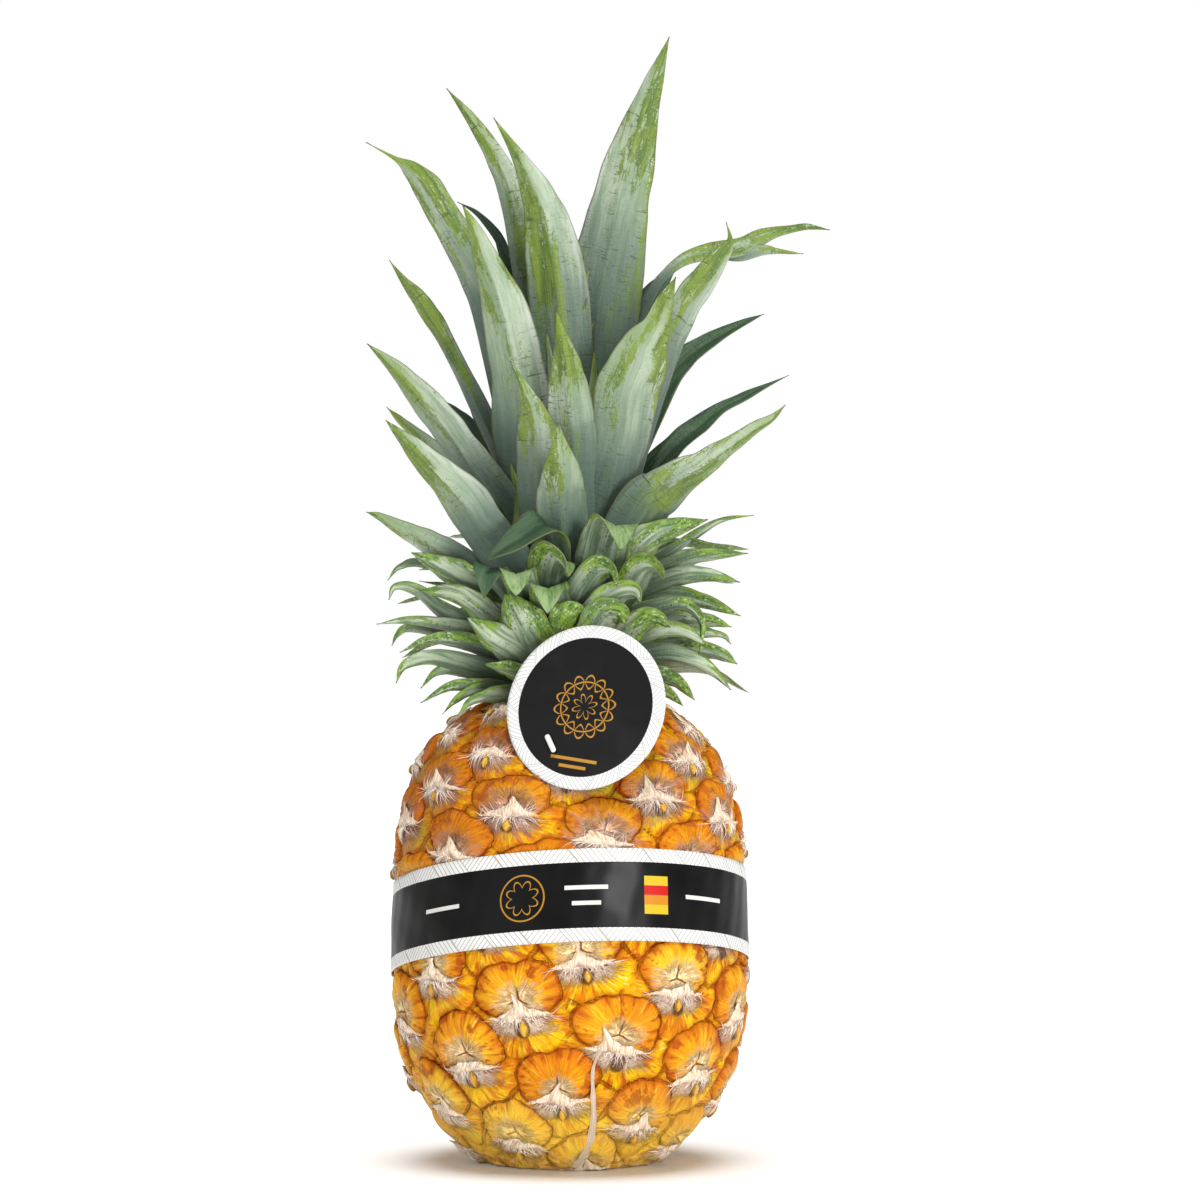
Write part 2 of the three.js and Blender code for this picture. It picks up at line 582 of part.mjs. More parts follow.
function fruitletTriangles(rings, out) {
  for (let i = 0; i < rings.length - 1; i++) {
    const [outer, inner] = [rings[i], rings[i + 1]];
    outer.forEach((a, j) => {
      const b = outer[(j + 1) % outer.length];
      const c = inner[j % inner.length];
      const d = inner[(j + 1) % inner.length];
      out.push(a, b, d);
      if (inner.length > 1) out.push(a, d, c);
    });
  }
}

function fruitSkin() {
  const cells = findCells();
  const triangles = [];
  eyes.forEach((eye, i) => {
    fruitletTriangles(eyeRings(eye.azimuth, eye.place, cells[i]), triangles);
  });
  const ends = [
    [cells[eyes.length], 0],
    [cells[eyes.length + 1], PROFILE_STEPS],
  ];
  ends.forEach(([corners, place]) => {
    const rim = corners.map((c) => surfacePoint(c.azimuth, c.place, -GROOVE_DEPTH));
    fruitletTriangles([rim, [surfacePoint(0, place, 0).setX(0).setY(0)]], triangles);
  });
  return solidOf(mergeVertices(new THREE.BufferGeometry().setFromPoints(triangles), 1e-4));
}

// The dry pointed bract across the middle of a fruitlet, with its tip lifted clear.
function bractSolid(eye) {
  const out = surfacePoint(eye.azimuth, eye.place, 1).sub(surfacePoint(eye.azimuth, eye.place, 0));
  const side = new THREE.Vector3(Math.cos(radians(eye.azimuth)), Math.sin(radians(eye.azimuth)), 0);
  const along = out.clone().cross(side);
  const centre = surfacePoint(eye.azimuth, eye.place, PIT_RISE);
  const place = (x, y, h) =>
    centre.clone().addScaledVector(side, x).addScaledVector(along, y).addScaledVector(out, h);
  const edge = (width, y, h) => [place(-width / 2, y, h), place(width / 2, y, h)];
  const [left, right] = edge(BRACT.width, BRACT.rootAt, -BRACT.sunk);
  const [heelLeft, heelRight] = edge(BRACT.heelWidth, BRACT.heelAt, BRACT.heelRise);
  const [low, lowRight] = edge(BRACT.tipWidth, BRACT.tipAt, BRACT.lift - BRACT.thickness);
  const [high, highRight] = edge(BRACT.tipWidth, BRACT.tipAt, BRACT.lift);
  const root = [left, right, heelRight, heelLeft];
  const tip = [low, lowRight, highRight, high];
  return ringSolid([root, tip]);
}

// The long dry fibre, a flat strip that follows its points down the fruit.
function fibreSolid() {
  const curve = new THREE.CatmullRomCurve3(
    FIBRE.points.map(([azimuth, height]) => {
      return surfacePoint(azimuth, placeAtHeight(height), FIBRE.standOff);
    }),
    false,
    "catmullrom",
    0.5,
  );
  const rings = [];
  for (let i = 0; i <= FIBRE.steps; i++) {
    const t = i / FIBRE.steps;
    const centre = curve.getPoint(t);
    const out = new THREE.Vector3(centre.x, centre.y, 0).normalize();
    const side = curve.getTangent(t).cross(out).normalize();
    const half = THREE.MathUtils.lerp(FIBRE.topWidth, FIBRE.bottomWidth, t) / 2;
    const at = (x, h) => centre.clone().addScaledVector(side, x).addScaledVector(out, h);
    const deep = -FIBRE.thickness;
    rings.push([at(-half, 0), at(-half, deep), at(half, deep), at(half, 0)]);
  }
  return ringSolid(rings);
}

function boxSolid(size, centre) {
  return solidOf(new THREE.BoxGeometry(...size).translate(...centre));
}

function latheSolid(points, sides) {
  const outline = points.map(([r, z]) => new THREE.Vector2(r, z));
  return solidOf(new THREE.LatheGeometry(outline, sides).rotateX(Math.PI / 2));
}

// The size of the block that cuts the base flat.
const BELOW = 200;

// The fruit, cut flat across its base, with the woody stub of its stalk in the middle of the cut.
function fruitSolid() {
  let fruit = fruitSkin();
  eyes
    .filter((eye) => eye.z > BRACT.lowest && eye.z < BRACT.highest)
    .filter((eye) => !nearBand(eye.azimuth, eye.z, BRACT.tipAt - BRACT.rootAt))
    .forEach((eye) => {
      fruit = fruit.add(bractSolid(eye));
    });
  fruit = fruit.add(fibreSolid());
  fruit = fruit.subtract(boxSolid([BELOW, BELOW, BELOW], [0, 0, -BELOW / 2]));
  const { radius, groove, depth, sides } = STUB;
  const ring = [
    [radius, -depth],
    [radius + groove, -depth],
    [radius + groove / 2, depth],
    [radius, -depth],
  ];
  return fruit.subtract(latheSolid(ring, sides)).subtract(shankBore());
}

// ---- Crown ---------------------------------------------------------------------------------

// An even curve through points, each a list of three numbers.
function curveThrough(points) {
  const knots = points.map((point) => new THREE.Vector3(...point));
  return new THREE.CatmullRomCurve3(knots, false, "catmullrom", 0.5);
}

// A blade along its midrib, with its full width given by a function of the share of the way along.
// Its outer face starts at the azimuth given and turns with the midrib, without a twist, so a leaf
// that arches over shows its inner face.
function bladeSolid(path, widthAt, azimuth, cup, along, across) {
  const curve = curveThrough(path);
  const a = radians(azimuth);
  const out = new THREE.Vector3(Math.sin(a), -Math.cos(a), OUTER_FACE_DIP);
  const rings = [];
  for (let i = 0; i <= along * TURN_STEPS; i++) {
    const t = i / (along * TURN_STEPS);
    const tangent = curve.getTangent(t);
    out.addScaledVector(tangent, -out.dot(tangent)).normalize();
    if (i % TURN_STEPS === 0) {
      const half = Math.max(widthAt(t) / 2, LEAST_HALF_WIDTH);
      rings.push(bladeSection(curve.getPoint(t), tangent, out, half, cup, across));
    }
  }
  return ringSolid(rings);
}

// The cupped section of a blade, thinner at its edges, all the way round.
function bladeSection(centre, tangent, out, half, cup, across) {
  const side = new THREE.Vector3().crossVectors(tangent, out);
  const ring = [];
  for (let j = 0; j <= across; j++) {
    const u = (2 * j) / across - 1;
    const thick = (LEAF_THICKNESS / 2) * (1 - (1 - EDGE_SHARE) * u * u);
    const bend = -cup * 2 * half * Math.abs(u) ** CUP_POWER;
    const middle = centre.clone().addScaledVector(side, u * half).addScaledVector(out, bend);
    ring.push(middle.clone().addScaledVector(out, thick));
    ring.unshift(middle.addScaledVector(out, -thick));
  }
  return ring;
}

// How wide a blade is along its length, as a share of its full width.
function bladeShare(t, { rootShare, widest, taper }) {
  if (t < widest) return rootShare + (1 - rootShare) * Math.sin((Math.PI / 2) * (t / widest));
  return 1 - ((t - widest) / (1 - widest)) ** taper;
}

// A repeatable number from 0 to 1 for a whole number.
function draw(k) {
  const wave = Math.sin(k * 12.9898 + BACK_LEAVES.seed) * 43758.5453;
  return wave - Math.floor(wave);
}

function backLeaves() {
  const { count, spread, rootRadius, reach, furtherReach, tipReach, bendsAt, width } = BACK_LEAVES;
  const { firstHeight, lastHeight, lowLift, highLift, droop } = BACK_LEAVES;
  const { lerp } = THREE.MathUtils;
  const leaves = [];
  for (let i = 0; i < count; i++) {
    const up = i / (count - 1);
    const azimuth = 180 + (((i * GOLDEN_ANGLE) % 360) / 180 - 1) * spread;
    const root = lerp(firstHeight, lastHeight, up);
    const top = root + lerp(lowLift, highLift, up);
    const out = reach + furtherReach * draw(i);
    const a = radians(azimuth);
    const at = (radius, z) => [radius * Math.sin(a), -radius * Math.cos(a), z];
    const path = [
      at(rootRadius, root),
      at(out * bendsAt[0], top),
      at(out * bendsAt[1], top),
      at(out + tipReach, top - droop * (1 - up)),
    ];
    leaves.push([path, width, azimuth]);
  }
  return leaves;
}

function longLeafSolid([stations, azimuth]) {
  const path = stations.map(([x, y, z]) => [x, y, z]);
  const widths = stations.map((station) => station[3]);
  const curve = curveThrough(widths.map((width) => [width, 0, 0]));
  const along = Math.max(stations.length - 1, LONG_BLADE.fewestRings);
  const across = Math.max(...widths) > WIDE_LEAF ? 4 : 2;
  return bladeSolid(path, (t) => curve.getPoint(t).x, azimuth, LONG_BLADE.cup, along, across);
}

function shortLeafSolid([path, width, azimuth], form) {
  const widthAt = (t) => width * bladeShare(t, form);
  return bladeSolid(path, widthAt, azimuth, form.cup, path.length, 2);
}

function crownSolid() {
  let crown = latheSolid(CROWN_CORE, CORE_SIDES);
  for (const leaf of LONG_LEAVES) crown = crown.add(longLeafSolid(leaf));
  for (const leaf of SHORT_LEAVES) crown = crown.add(shortLeafSolid(leaf, SHORT_BLADE));
  for (const leaf of backLeaves()) crown = crown.add(shortLeafSolid(leaf, SHORT_BLADE));
  for (const leaf of SIDE_LEAVES) crown = crown.add(shortLeafSolid(leaf, SIDE_BLADE));
  return crown.subtract(shoulderClearance()).subtract(tagClearance());
}

// The space that the fruit's shoulder takes up, with a little more all round.
function shoulderClearance() {
  const rise = DOME_RISE + BRACT.lift + CLEARANCE;
  const { lowest, step, sides, gap } = SHOULDER;
  const outline = [[0, lowest]];
  for (let height = lowest; height < NECK.height; height += step) {
    const s = sampleAt(placeAtHeight(height));
    outline.push([s.r + s.out * rise, s.z + s.up * rise]);
  }
  outline.push([NECK.radius, NECK.height + gap], [0, NECK.height + gap]);
  return latheSolid(outline, sides);
}

// ---- Sleeve band ---------------------------------------------------------------------------

// A closed ring of film round the fruit. Its ends overlap at the back, where it is thicker.
function bandSolid() {
  const { rows } = BAND;
  const positions = [];
  const index = [];
  const ringSize = rows * 2;
  for (let i = 0; i < BAND.steps; i++) {
    const azimuth = (360 * i) / BAND.steps;
    const atSeam = Math.abs(azimuth - 180) <= BAND.seamHalfAngle;
    for (let j = 0; j < ringSize; j++) {
      const outer = j < rows;
      const row = outer ? j : ringSize - 1 - j;
      const offset = BAND.width * (row / (rows - 1) - 0.5);
      const place = placeAtHeight(bandHeight(azimuth) + offset);
      const skin = BAND.standOff + BAND.thickness + (atSeam ? BAND.seamStep : 0);
      const point = surfacePoint(azimuth, place, outer ? skin : BAND.standOff);
      positions.push(point);
      const next = ((i + 1) % BAND.steps) * ringSize;
      const a = i * ringSize + j;
      const b = i * ringSize + ((j + 1) % ringSize);
      const c = next + ((j + 1) % ringSize);
      const d = next + j;
      index.push(a, c, b, a, d, c);
    }
  }
  const geometry = new THREE.BufferGeometry().setFromPoints(positions);
  geometry.setIndex(index);
  return solidOf(geometry);
}

// ---- Round tag and its pin -----------------------------------------------------------------

const tagGroup = new THREE.Group();
tagGroup.position.set(...TAG.centre);
tagGroup.rotation.set(radians(TAG.tilt), radians(TAG.roll), radians(TAG.yaw), "ZXY");
tagGroup.updateMatrixWorld(true);

// A disc or rod that stands across the tag, from one depth to another behind its middle plane.
function acrossTag(radius, from, to, sides, x = 0, z = 0) {
  const rod = new THREE.CylinderGeometry(radius, radius, to - from, sides);
  return rod.translate(x, (from + to) / 2, z);
}

function tagSolid() {
  const half = TAG.thickness / 2;
  const disc = solidOf(acrossTag(TAG.radius, -half, half, TAG.sides));
  const hole = acrossTag(PIN.holeRadius, -TAG.thickness, TAG.thickness, PIN.sides, ...PIN.at);
  return disc.subtract(solidOf(hole));
}

// The pin is a short bar across the face of the tag with a shank that runs into the fruit.
function pinSolid() {
  const front = -TAG.thickness / 2 - CLEARANCE;
  const bar = new THREE.CylinderGeometry(PIN.barRadius, PIN.barRadius, PIN.barLength, PIN.sides);
  bar.rotateX(Math.PI / 2);
  bar.rotateY(radians(PIN.slant));
  bar.translate(PIN.at[0], front - PIN.barRadius, PIN.at[1]);
  const { shankRadius, shankLength, sides, at } = PIN;
  const shank = acrossTag(shankRadius, front - PIN.barRadius, shankLength, sides, ...at);
  return solidOf(bar).add(solidOf(shank));
}

function shankBore() {
  const { shankRadius, boreDepth, sides, at } = PIN;
  const bore = acrossTag(shankRadius + CLEARANCE, TAG.thickness, boreDepth, sides, ...at);
  return solidOf(bore.applyMatrix4(tagGroup.matrixWorld));
}

// The leaves are held back behind the tag and clear of it.
function tagClearance() {
  const { radius, leafMargin, leafDepth, thickness, sides } = TAG;
  const slab = acrossTag(radius + leafMargin, -leafDepth, thickness / 2 + CLEARANCE, sides);
  return solidOf(slab.applyMatrix4(tagGroup.matrixWorld));
}

// ---- The whole pineapple -------------------------------------------------------------------

const pineapple = new THREE.Group();
tagGroup.add(
  meshOf("round_tag", tagSolid(), materialOf(0x1b1b1d, 0.35)),
  meshOf("tag_pin", pinSolid(), materialOf(0xe8e6e0, 0.4)),
);
pineapple.add(
  meshOf("fruit", fruitSolid(), materialOf(0xdf9419, 0.5)),
  meshOf("crown", crownSolid(), materialOf(0x7c9a86, 0.55)),
  meshOf("label_band", bandSolid(), materialOf(0x1b1b1d, 0.3)),
  tagGroup,
);

export default pineapple;
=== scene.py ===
"""A ripe pineapple with its crown, a glossy sleeve band and a round tag, dressed over its frame.

Shapes are worked out in millimetres and handed to Blender in metres. The front looks to -Y.
"""
import math

import bpy
import numpy as np
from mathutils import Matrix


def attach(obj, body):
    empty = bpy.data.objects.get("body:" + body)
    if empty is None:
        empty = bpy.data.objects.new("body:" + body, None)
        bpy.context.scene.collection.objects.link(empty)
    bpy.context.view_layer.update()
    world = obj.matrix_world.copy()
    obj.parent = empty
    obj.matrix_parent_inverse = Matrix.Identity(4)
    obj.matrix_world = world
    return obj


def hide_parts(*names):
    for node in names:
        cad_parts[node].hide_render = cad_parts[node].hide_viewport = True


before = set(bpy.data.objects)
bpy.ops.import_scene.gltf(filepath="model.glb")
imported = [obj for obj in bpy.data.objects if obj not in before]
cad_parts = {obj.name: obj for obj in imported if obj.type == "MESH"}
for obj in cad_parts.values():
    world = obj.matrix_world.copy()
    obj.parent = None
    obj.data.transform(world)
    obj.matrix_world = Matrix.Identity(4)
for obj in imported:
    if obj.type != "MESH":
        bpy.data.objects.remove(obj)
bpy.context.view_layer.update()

MM = 0.001

# ---- Driving dimensions, mm and degrees -----------------------------------------------------

# The fruit's outline, radius and height, and the fruitlets on it. Sizes that the frame has too are
# the frame's own.
FRUIT_PROFILE = [
    (0, -3), (15, -3), (26, -2), (36.5, 6), (45, 15), (53.6, 28.5), (58.1, 42), (60.2, 56),
    (60.6, 70), (60.2, 86), (59.4, 102), (57.6, 119), (54, 132), (48.6, 143), (39.6, 152),
    (29, 158), (19, 160.5), (0, 160.5),
]
GOLDEN_ANGLE = 137.508
EYE_HEIGHTS = (0, 50, 120, 150, 163)
EYE_AREAS = (640, 885, 637, 430, 380)
KEY_AREA = 885
KEY_RISE = 2.25
KEY_AZIMUTH = 16.3
KEY_HEIGHT = 48
EYE_RADIUS_MIN = 27
DOME_HALF_WIDTH = 15.6
DOME_HALF_HEIGHT = 11.0
DOME_CENTRE = 4.4
PIT_HEIGHT = 1.2
# The cracks in a dome's middle: lean from straight up, width and length.
PIT_SLITS = ((4, 0.42, 5.5), (112, 0.40, 5.5), (-104, 0.36, 4.5))
# Where on a fruitlet's middle line the pleats and the hairs spread from.
PLEAT_HEIGHT = -4.5
HAIR_HEIGHT = -3.6
# How often the rim of a dome waves, and by what share.
RIM_WAVES = ((2, 0.050), (3, 0.050), (5, 0.034), (9, 0.020))
STUB_RADIUS = 13
# How many points go round the rind.
RIND_COLUMNS = 456

BAND_FRONT = 96.1
BAND_LEFT = 80.1
BAND_RIGHT = 85.5
BAND_WIDTH = 31
BAND_THICKNESS = 0.6
BAND_STAND_OFF = 1.5
BAND_SEAM_HALF_ANGLE = 7
BAND_SEAM_STEP = 0.5
BAND_BORDER = 4.6
BAND_MEAN_RADIUS = 62

TAG_RADIUS = 28.4
TAG_THICKNESS = 0.6
TAG_CENTRE = (5.4, -53.2, 159.3)
TAG_YAW = -20
TAG_TILT = -15
TAG_ROLL = 8
TAG_BLACK_RADIUS = 24
PIN_AT = (-9, -14.3)
PIN_SLANT = -38
PIN_HALF_LENGTH = 3.5
PIN_RADIUS = 0.95
SHANK_RADIUS = 0.65
SHANK_END = 8.5

CROWN_CORE = [
    (0, 161.6), (19, 161.6), (22, 167), (24, 185), (22, 203), (17, 220), (11, 243), (5, 270),
    (0, 276),
]

# The long leaves: points along the midrib from root to tip, full width, and the azimuth that the
# outer face looks to.
LONG_LEAVES = [
    ([(5, 2, 225, 22), (9.5, 5, 290, 27), (14.9, 7, 321.8, 24), (17.5, 8, 335.8, 20.6),
      (20.9, 9, 349.8, 17.3), (24.7, 11, 363.9, 12.4), (29.3, 13, 377.9, 7.1),
      (31.8, 13.5, 385, 3.8), (34.9, 14, 393.8, 0)], -6),
    ([(-3, 5, 232, 13), (-13, 10, 300, 12.5), (-20.3, 15, 336.5, 9.4), (-26.3, 17, 351.4, 7.4),
      (-34.8, 20, 365.1, 4.2), (-43.8, 22, 376.5, 0)], -10),
    ([(1, -3, 232, 17), (-3.5, -5, 295, 22), (-7, -5, 320.7, 18), (-10.6, -5.5, 334.5, 12.9),
      (-17.3, -6.5, 348.4, 5.4), (-26.5, -8, 363, 0)], -6),
    ([(-12, 0, 226, 15), (-27, -3, 292.4, 15.5), (-32.5, -4, 308.2, 14.5), (-40, -5, 322, 12.5),
      (-45.7, -6, 331.5, 11.5), (-49.8, -7, 338.7, 10.8), (-55.2, -8, 344.7, 6.5),
      (-60.5, -9, 348.5, 1.8), (-70.7, -10, 354.2, 0)], -18),
    ([(-12, -8, 216, 17), (-16, -15, 250.6, 22), (-17.5, -18, 268, 21), (-20, -20.5, 282, 19),
      (-23.9, -22, 298.4, 15.1), (-29.2, -23, 312.8, 9.5), (-33, -23.5, 323.4, 4.3),
      (-36.9, -24, 331.5, 0)], -14),
    ([(-6, 8, 245, 7), (-17, 22, 305, 6), (-23, 27, 318, 4.6), (-25.1, 29, 323.4, 3.6),
      (-28.7, 31, 328.4, 3), (-34, 33, 333.7, 1.7), (-40.3, 34, 337.3, 0)], 165),
    ([(-13, 0, 222, 8), (-29.6, 5, 257.5, 7.4), (-39, 7, 276.7, 6.4), (-45.7, 9, 289.6, 6.6),
      (-50, 10, 296.3, 7), (-53.6, 10, 301.7, 6.2), (-58.5, 11, 307.6, 2.8),
      (-63.6, 11, 314.9, 0)], -22),
    ([(-14, -5, 213, 18), (-31.2, -12, 237.5, 16), (-37.6, -13, 247.3, 14), (-43.2, -14, 255.3, 13),
      (-49.6, -15, 262.8, 12), (-55.2, -15, 269.4, 9), (-61, -15, 275.8, 6),
      (-70.1, -14, 284.1, 0)], -25),
    ([(-16, -2, 210, 8), (-38.3, 3, 236.7, 8), (-46, 4, 245.7, 7), (-52.9, 4, 252.1, 5.6),
      (-59, 4, 257.6, 3.4), (-64.2, 4, 262.9, 0)], -35),
    ([(-13, -12, 197, 18), (-29.8, -23, 219.3, 18.5), (-36.1, -25, 228.4, 17.2),
      (-41.6, -25.5, 234.8, 15), (-48.9, -26, 242, 10.8), (-55.4, -26, 249.1, 6.6),
      (-59.5, -26, 253.3, 3.4), (-63.1, -26, 257.2, 0)], -22),
    ([(-16, -6, 192, 13), (-39, -11, 209, 12), (-46, -12, 213.4, 10.5), (-52.9, -12, 217, 8.5),
      (-59.5, -12, 220.4, 6), (-66.2, -11.5, 224.2, 3), (-70.6, -11, 225.9, 0)], -30),
    ([(3, -14, 206, 15), (1.5, -24, 247, 17), (0.5, -27, 257.2, 15.8), (-0.5, -30, 269, 13.5),
      (-1.2, -33, 277, 9.7), (-2.5, -35, 284.9, 4.4), (-4.6, -36, 294.6, 0)], 0),
    ([(-9, -14, 202, 14), (-10.5, -28, 234, 16), (-11, -34, 250, 14.5), (-12.1, -38, 257.7, 10.4),
      (-13.8, -41, 263.4, 6.5), (-16.5, -43, 269.7, 3), (-20, -44, 276.6, 0)], -8),
    ([(-2, -18, 196, 17), (-2.7, -34, 226.1, 18), (-2.5, -41, 235.2, 14.2),
      (-2.8, -47, 242.8, 10.3), (-3.1, -49, 249.6, 3.9), (-3.6, -50, 255.6, 0)], 0),
    ([(7, -11, 206, 14), (15, -20, 238, 17), (17.5, -22, 250, 20.5), (20.5, -25, 266.5, 23.7),
      (23.7, -27, 274.8, 20.8), (26.4, -28, 282.5, 16.3), (30.2, -29, 289.6, 10.5),
      (33, -29.5, 298, 6), (36.5, -30, 306.1, 0)], 12),
    ([(12, -5, 212, 14), (25, -11, 258, 13.5), (33.6, -13, 283, 12.5), (38.5, -14, 293.2, 12.5),
      (42.6, -15, 300.3, 12.1), (47, -16, 306, 10), (51.3, -16, 312.2, 8), (54.7, -16, 317, 5.2),
      (55.6, -16, 320.5, 1.8), (54.1, -16, 326, 0)], 25),
    ([(8, 8, 238, 6), (22, 12, 288, 4.5), (29.9, 14, 305.2, 3.8), (34.5, 16, 311, 3.6),
      (38.7, 18, 314.7, 4.2), (43, 20, 317, 5), (50.1, 22, 319, 6.4), (60.2, 24, 320.6, 6.8),
      (67, 26, 324, 6), (72.6, 28, 326.1, 4.1), (78, 29, 327.2, 2.8), (84.4, 30, 328.2, 2.3),
      (92.2, 30, 327, 0)], 10),
    ([(51, 24, 318.5, 4), (60.2, 25, 318.3, 6), (68.7, 26, 319.5, 3.8), (72.7, 27, 319.3, 2.3),
      (78, 28, 318.8, 1.2), (82.7, 29, 318.4, 0)], 10),
    ([(10, 12, 240, 12), (20, 18, 281, 12), (27, 21, 299, 10), (32, 23, 307, 6),
      (37, 26, 312, 0)], 170),
    ([(11, 8, 222, 13), (24, 16, 251, 13), (34.3, 20, 272.6, 12), (40.4, 24, 279.8, 10.8),
      (45.9, 26, 284.3, 9), (53, 28, 289, 6.6), (60.2, 31, 293.1, 4), (69, 34, 297.4, 0)], 150),
    ([(11, 6, 206, 13), (24, 15, 232, 12), (33.4, 18, 245.2, 10.8), (39.9, 22, 252, 9.8),
      (45.9, 25, 256.9, 8.6), (53, 27, 262.8, 6.2), (60.3, 30, 266.7, 4.9), (67.5, 33, 270.5, 2.6),
      (77.8, 34, 275.5, 0)], 150),
    ([(9, -12, 196, 18), (25, -22, 225.2, 20), (31.6, -24, 231.2, 18.4), (38.7, -25, 237.3, 15),
      (45.4, -25.5, 241.2, 11), (51.2, -26, 245.6, 8.4), (57.2, -26, 249.6, 6.4),
      (63.6, -26, 254.3, 4.8), (69.7, -26, 257.9, 2.7), (74.2, -26, 262.4, 0)], 20),
    ([(-2, 8, 228, 12), (-5, 24, 280, 13), (-7, 30, 308, 9), (-9, 36, 334, 0)], 185),
    ([(8, 12, 226, 12.5), (16, 32, 290, 14), (20, 40, 319, 9.5), (24, 48, 345, 0)], 165),
    ([(4, 10, 222, 12.5), (7, 30, 262, 14), (8, 42, 280, 9.5), (8, 54, 296, 0)], 175),
    ([(-8, 10, 215, 13), (-16, 32, 255, 15), (-20, 44, 273, 10), (-24, 56, 290, 0)], 203),
    ([(10, 10, 210, 13), (20, 32, 245, 15), (24, 44, 260, 10), (27, 56, 273, 0)], 153),
    ([(0, 14, 204, 14), (-2, 38, 232, 15.5), (-3, 51, 244, 10.5), (-4, 64, 254, 0)], 182),
    ([(-12, 10, 206, 12), (-26, 34, 228, 13), (-31, 45, 237, 9), (-35, 56, 245, 0)], 215),
    ([(12, 10, 204, 11), (28, 34, 225, 12), (33, 45, 232, 8), (37, 56, 238, 0)], 143),
    ([(-12, 4, 212, 12), (-27, 12, 241, 11), (-35.4, 16, 254.2, 9.4), (-41.2, 18, 260.2, 6.8),
      (-47.5, 19, 265.4, 3.2), (-52, 19, 268, 0)], 160),
    ([(-10, 4, 215, 10), (-22.4, 10, 243, 8.6), (-31.8, 13, 262, 6), (-36.8, 15, 275, 2.2),
      (-38.8, 15, 280, 0)], 160),
]

SHORT_LEAVES = [
    ([(-18, -12, 196), (-38, -14, 203), (-54.8, -13, 211.8)], 12, -38),
    ([(-16, -14, 184), (-27, -19, 189), (-38, -19, 196.5), (-52, -17, 198.8)], 10, -30),
    ([(-10, -20, 168), (-19, -30, 177.5), (-27.5, -32.5, 183), (-35, -32, 189.5)], 14, -18),
    ([(-8, -22, 170), (-14, -34, 182), (-18.5, -36.5, 190.5), (-22, -35, 197.8)], 18, -12),
    ([(-12, -18, 166), (-19, -28, 170), (-29, -30, 173.5)], 9, -20),
    ([(-4, -18, 194), (-6, -29, 214), (-9, -35, 220.8), (-18.5, -40, 215), (-28.5, -42, 208.6)], 16, -62),
    ([(-6, -22, 186), (-7, -33, 201), (-5, -38.5, 209.5), (-1.5, -43, 207.5), (-0.3, -44, 203)], 17, -5),
    ([(-16, -16, 190), (-25, -30, 202), (-27, -36, 206), (-28, -40, 203), (-29, -42, 196)], 12, -30),
    ([(-10, -20, 186), (-16, -33, 198), (-18, -38, 204), (-18, -42, 202), (-18, -43, 196.5)], 13, -18),
    ([(-3, -23, 182), (-6, -35, 193), (-7, -39, 199), (-7, -43, 197), (-7.3, -44, 190.5)], 14, -5),
    ([(-3, -24, 176), (-2, -36, 186), (1, -39, 191), (5, -40, 193.5)], 12, 0),
    ([(9, -17, 190), (11, -31, 205), (14.5, -37, 219), (16.5, -42, 219.5), (17.5, -45, 212)], 19, 10),
    ([(-1, -24, 184), (3, -36, 196), (9, -40, 205), (14, -43, 205.5), (16.2, -44.5, 200)], 11, 5),
    ([(13, -20, 188), (20, -33, 198), (25, -38, 205.5), (30, -40.5, 205.5), (32.5, -42, 202)], 13, 20),
    ([(4, -25, 182), (9, -38, 191), (16, -41, 197), (22, -43, 198), (24.5, -44.5, 194.5)], 11, 10),
    ([(3, -24, 172), (8, -37, 183), (12, -40, 190), (17, -41, 190.5), (19, -41, 187)], 13, 10),
    ([(12, -21, 172), (20, -33, 182.5), (28, -37, 188.5), (34.5, -37, 186)], 12, 22),
    ([(12, -16, 198), (22.7, -20, 210.5), (31, -20, 217.5), (47.8, -16, 223.2)], 13.5, 30),
    ([(16, -6, 200), (35, -8, 207), (45.4, -8, 210.2), (62, -6, 211.6)], 8, 45),
    ([(16, -10, 194), (34, -14, 202), (46, -14, 203.8), (59, -12, 201.5)], 8, 38),
    ([(16, -6, 190.5), (32, -9, 196), (45.5, -10, 194.8), (59.3, -9, 189.8)], 8.5, 42),
    ([(17, -10, 181), (36, -14, 188), (47.5, -14, 188), (56, -13, 186)], 7, 40),
    ([(15, -18, 176), (27, -26, 183), (38, -26, 184), (47, -24, 180)], 9, 32),
    ([(17, -12, 174), (34, -16, 178.5), (49.6, -16, 177), (58, -15, 173.2)], 8, 38),
    ([(14, -18, 166), (27, -26, 169.5), (36, -26, 167.5), (43, -25, 161)], 8, 30),
    ([(14, -20, 164), (26, -29, 166), (33, -30, 163.5), (39, -31, 159)], 7, 30),
]

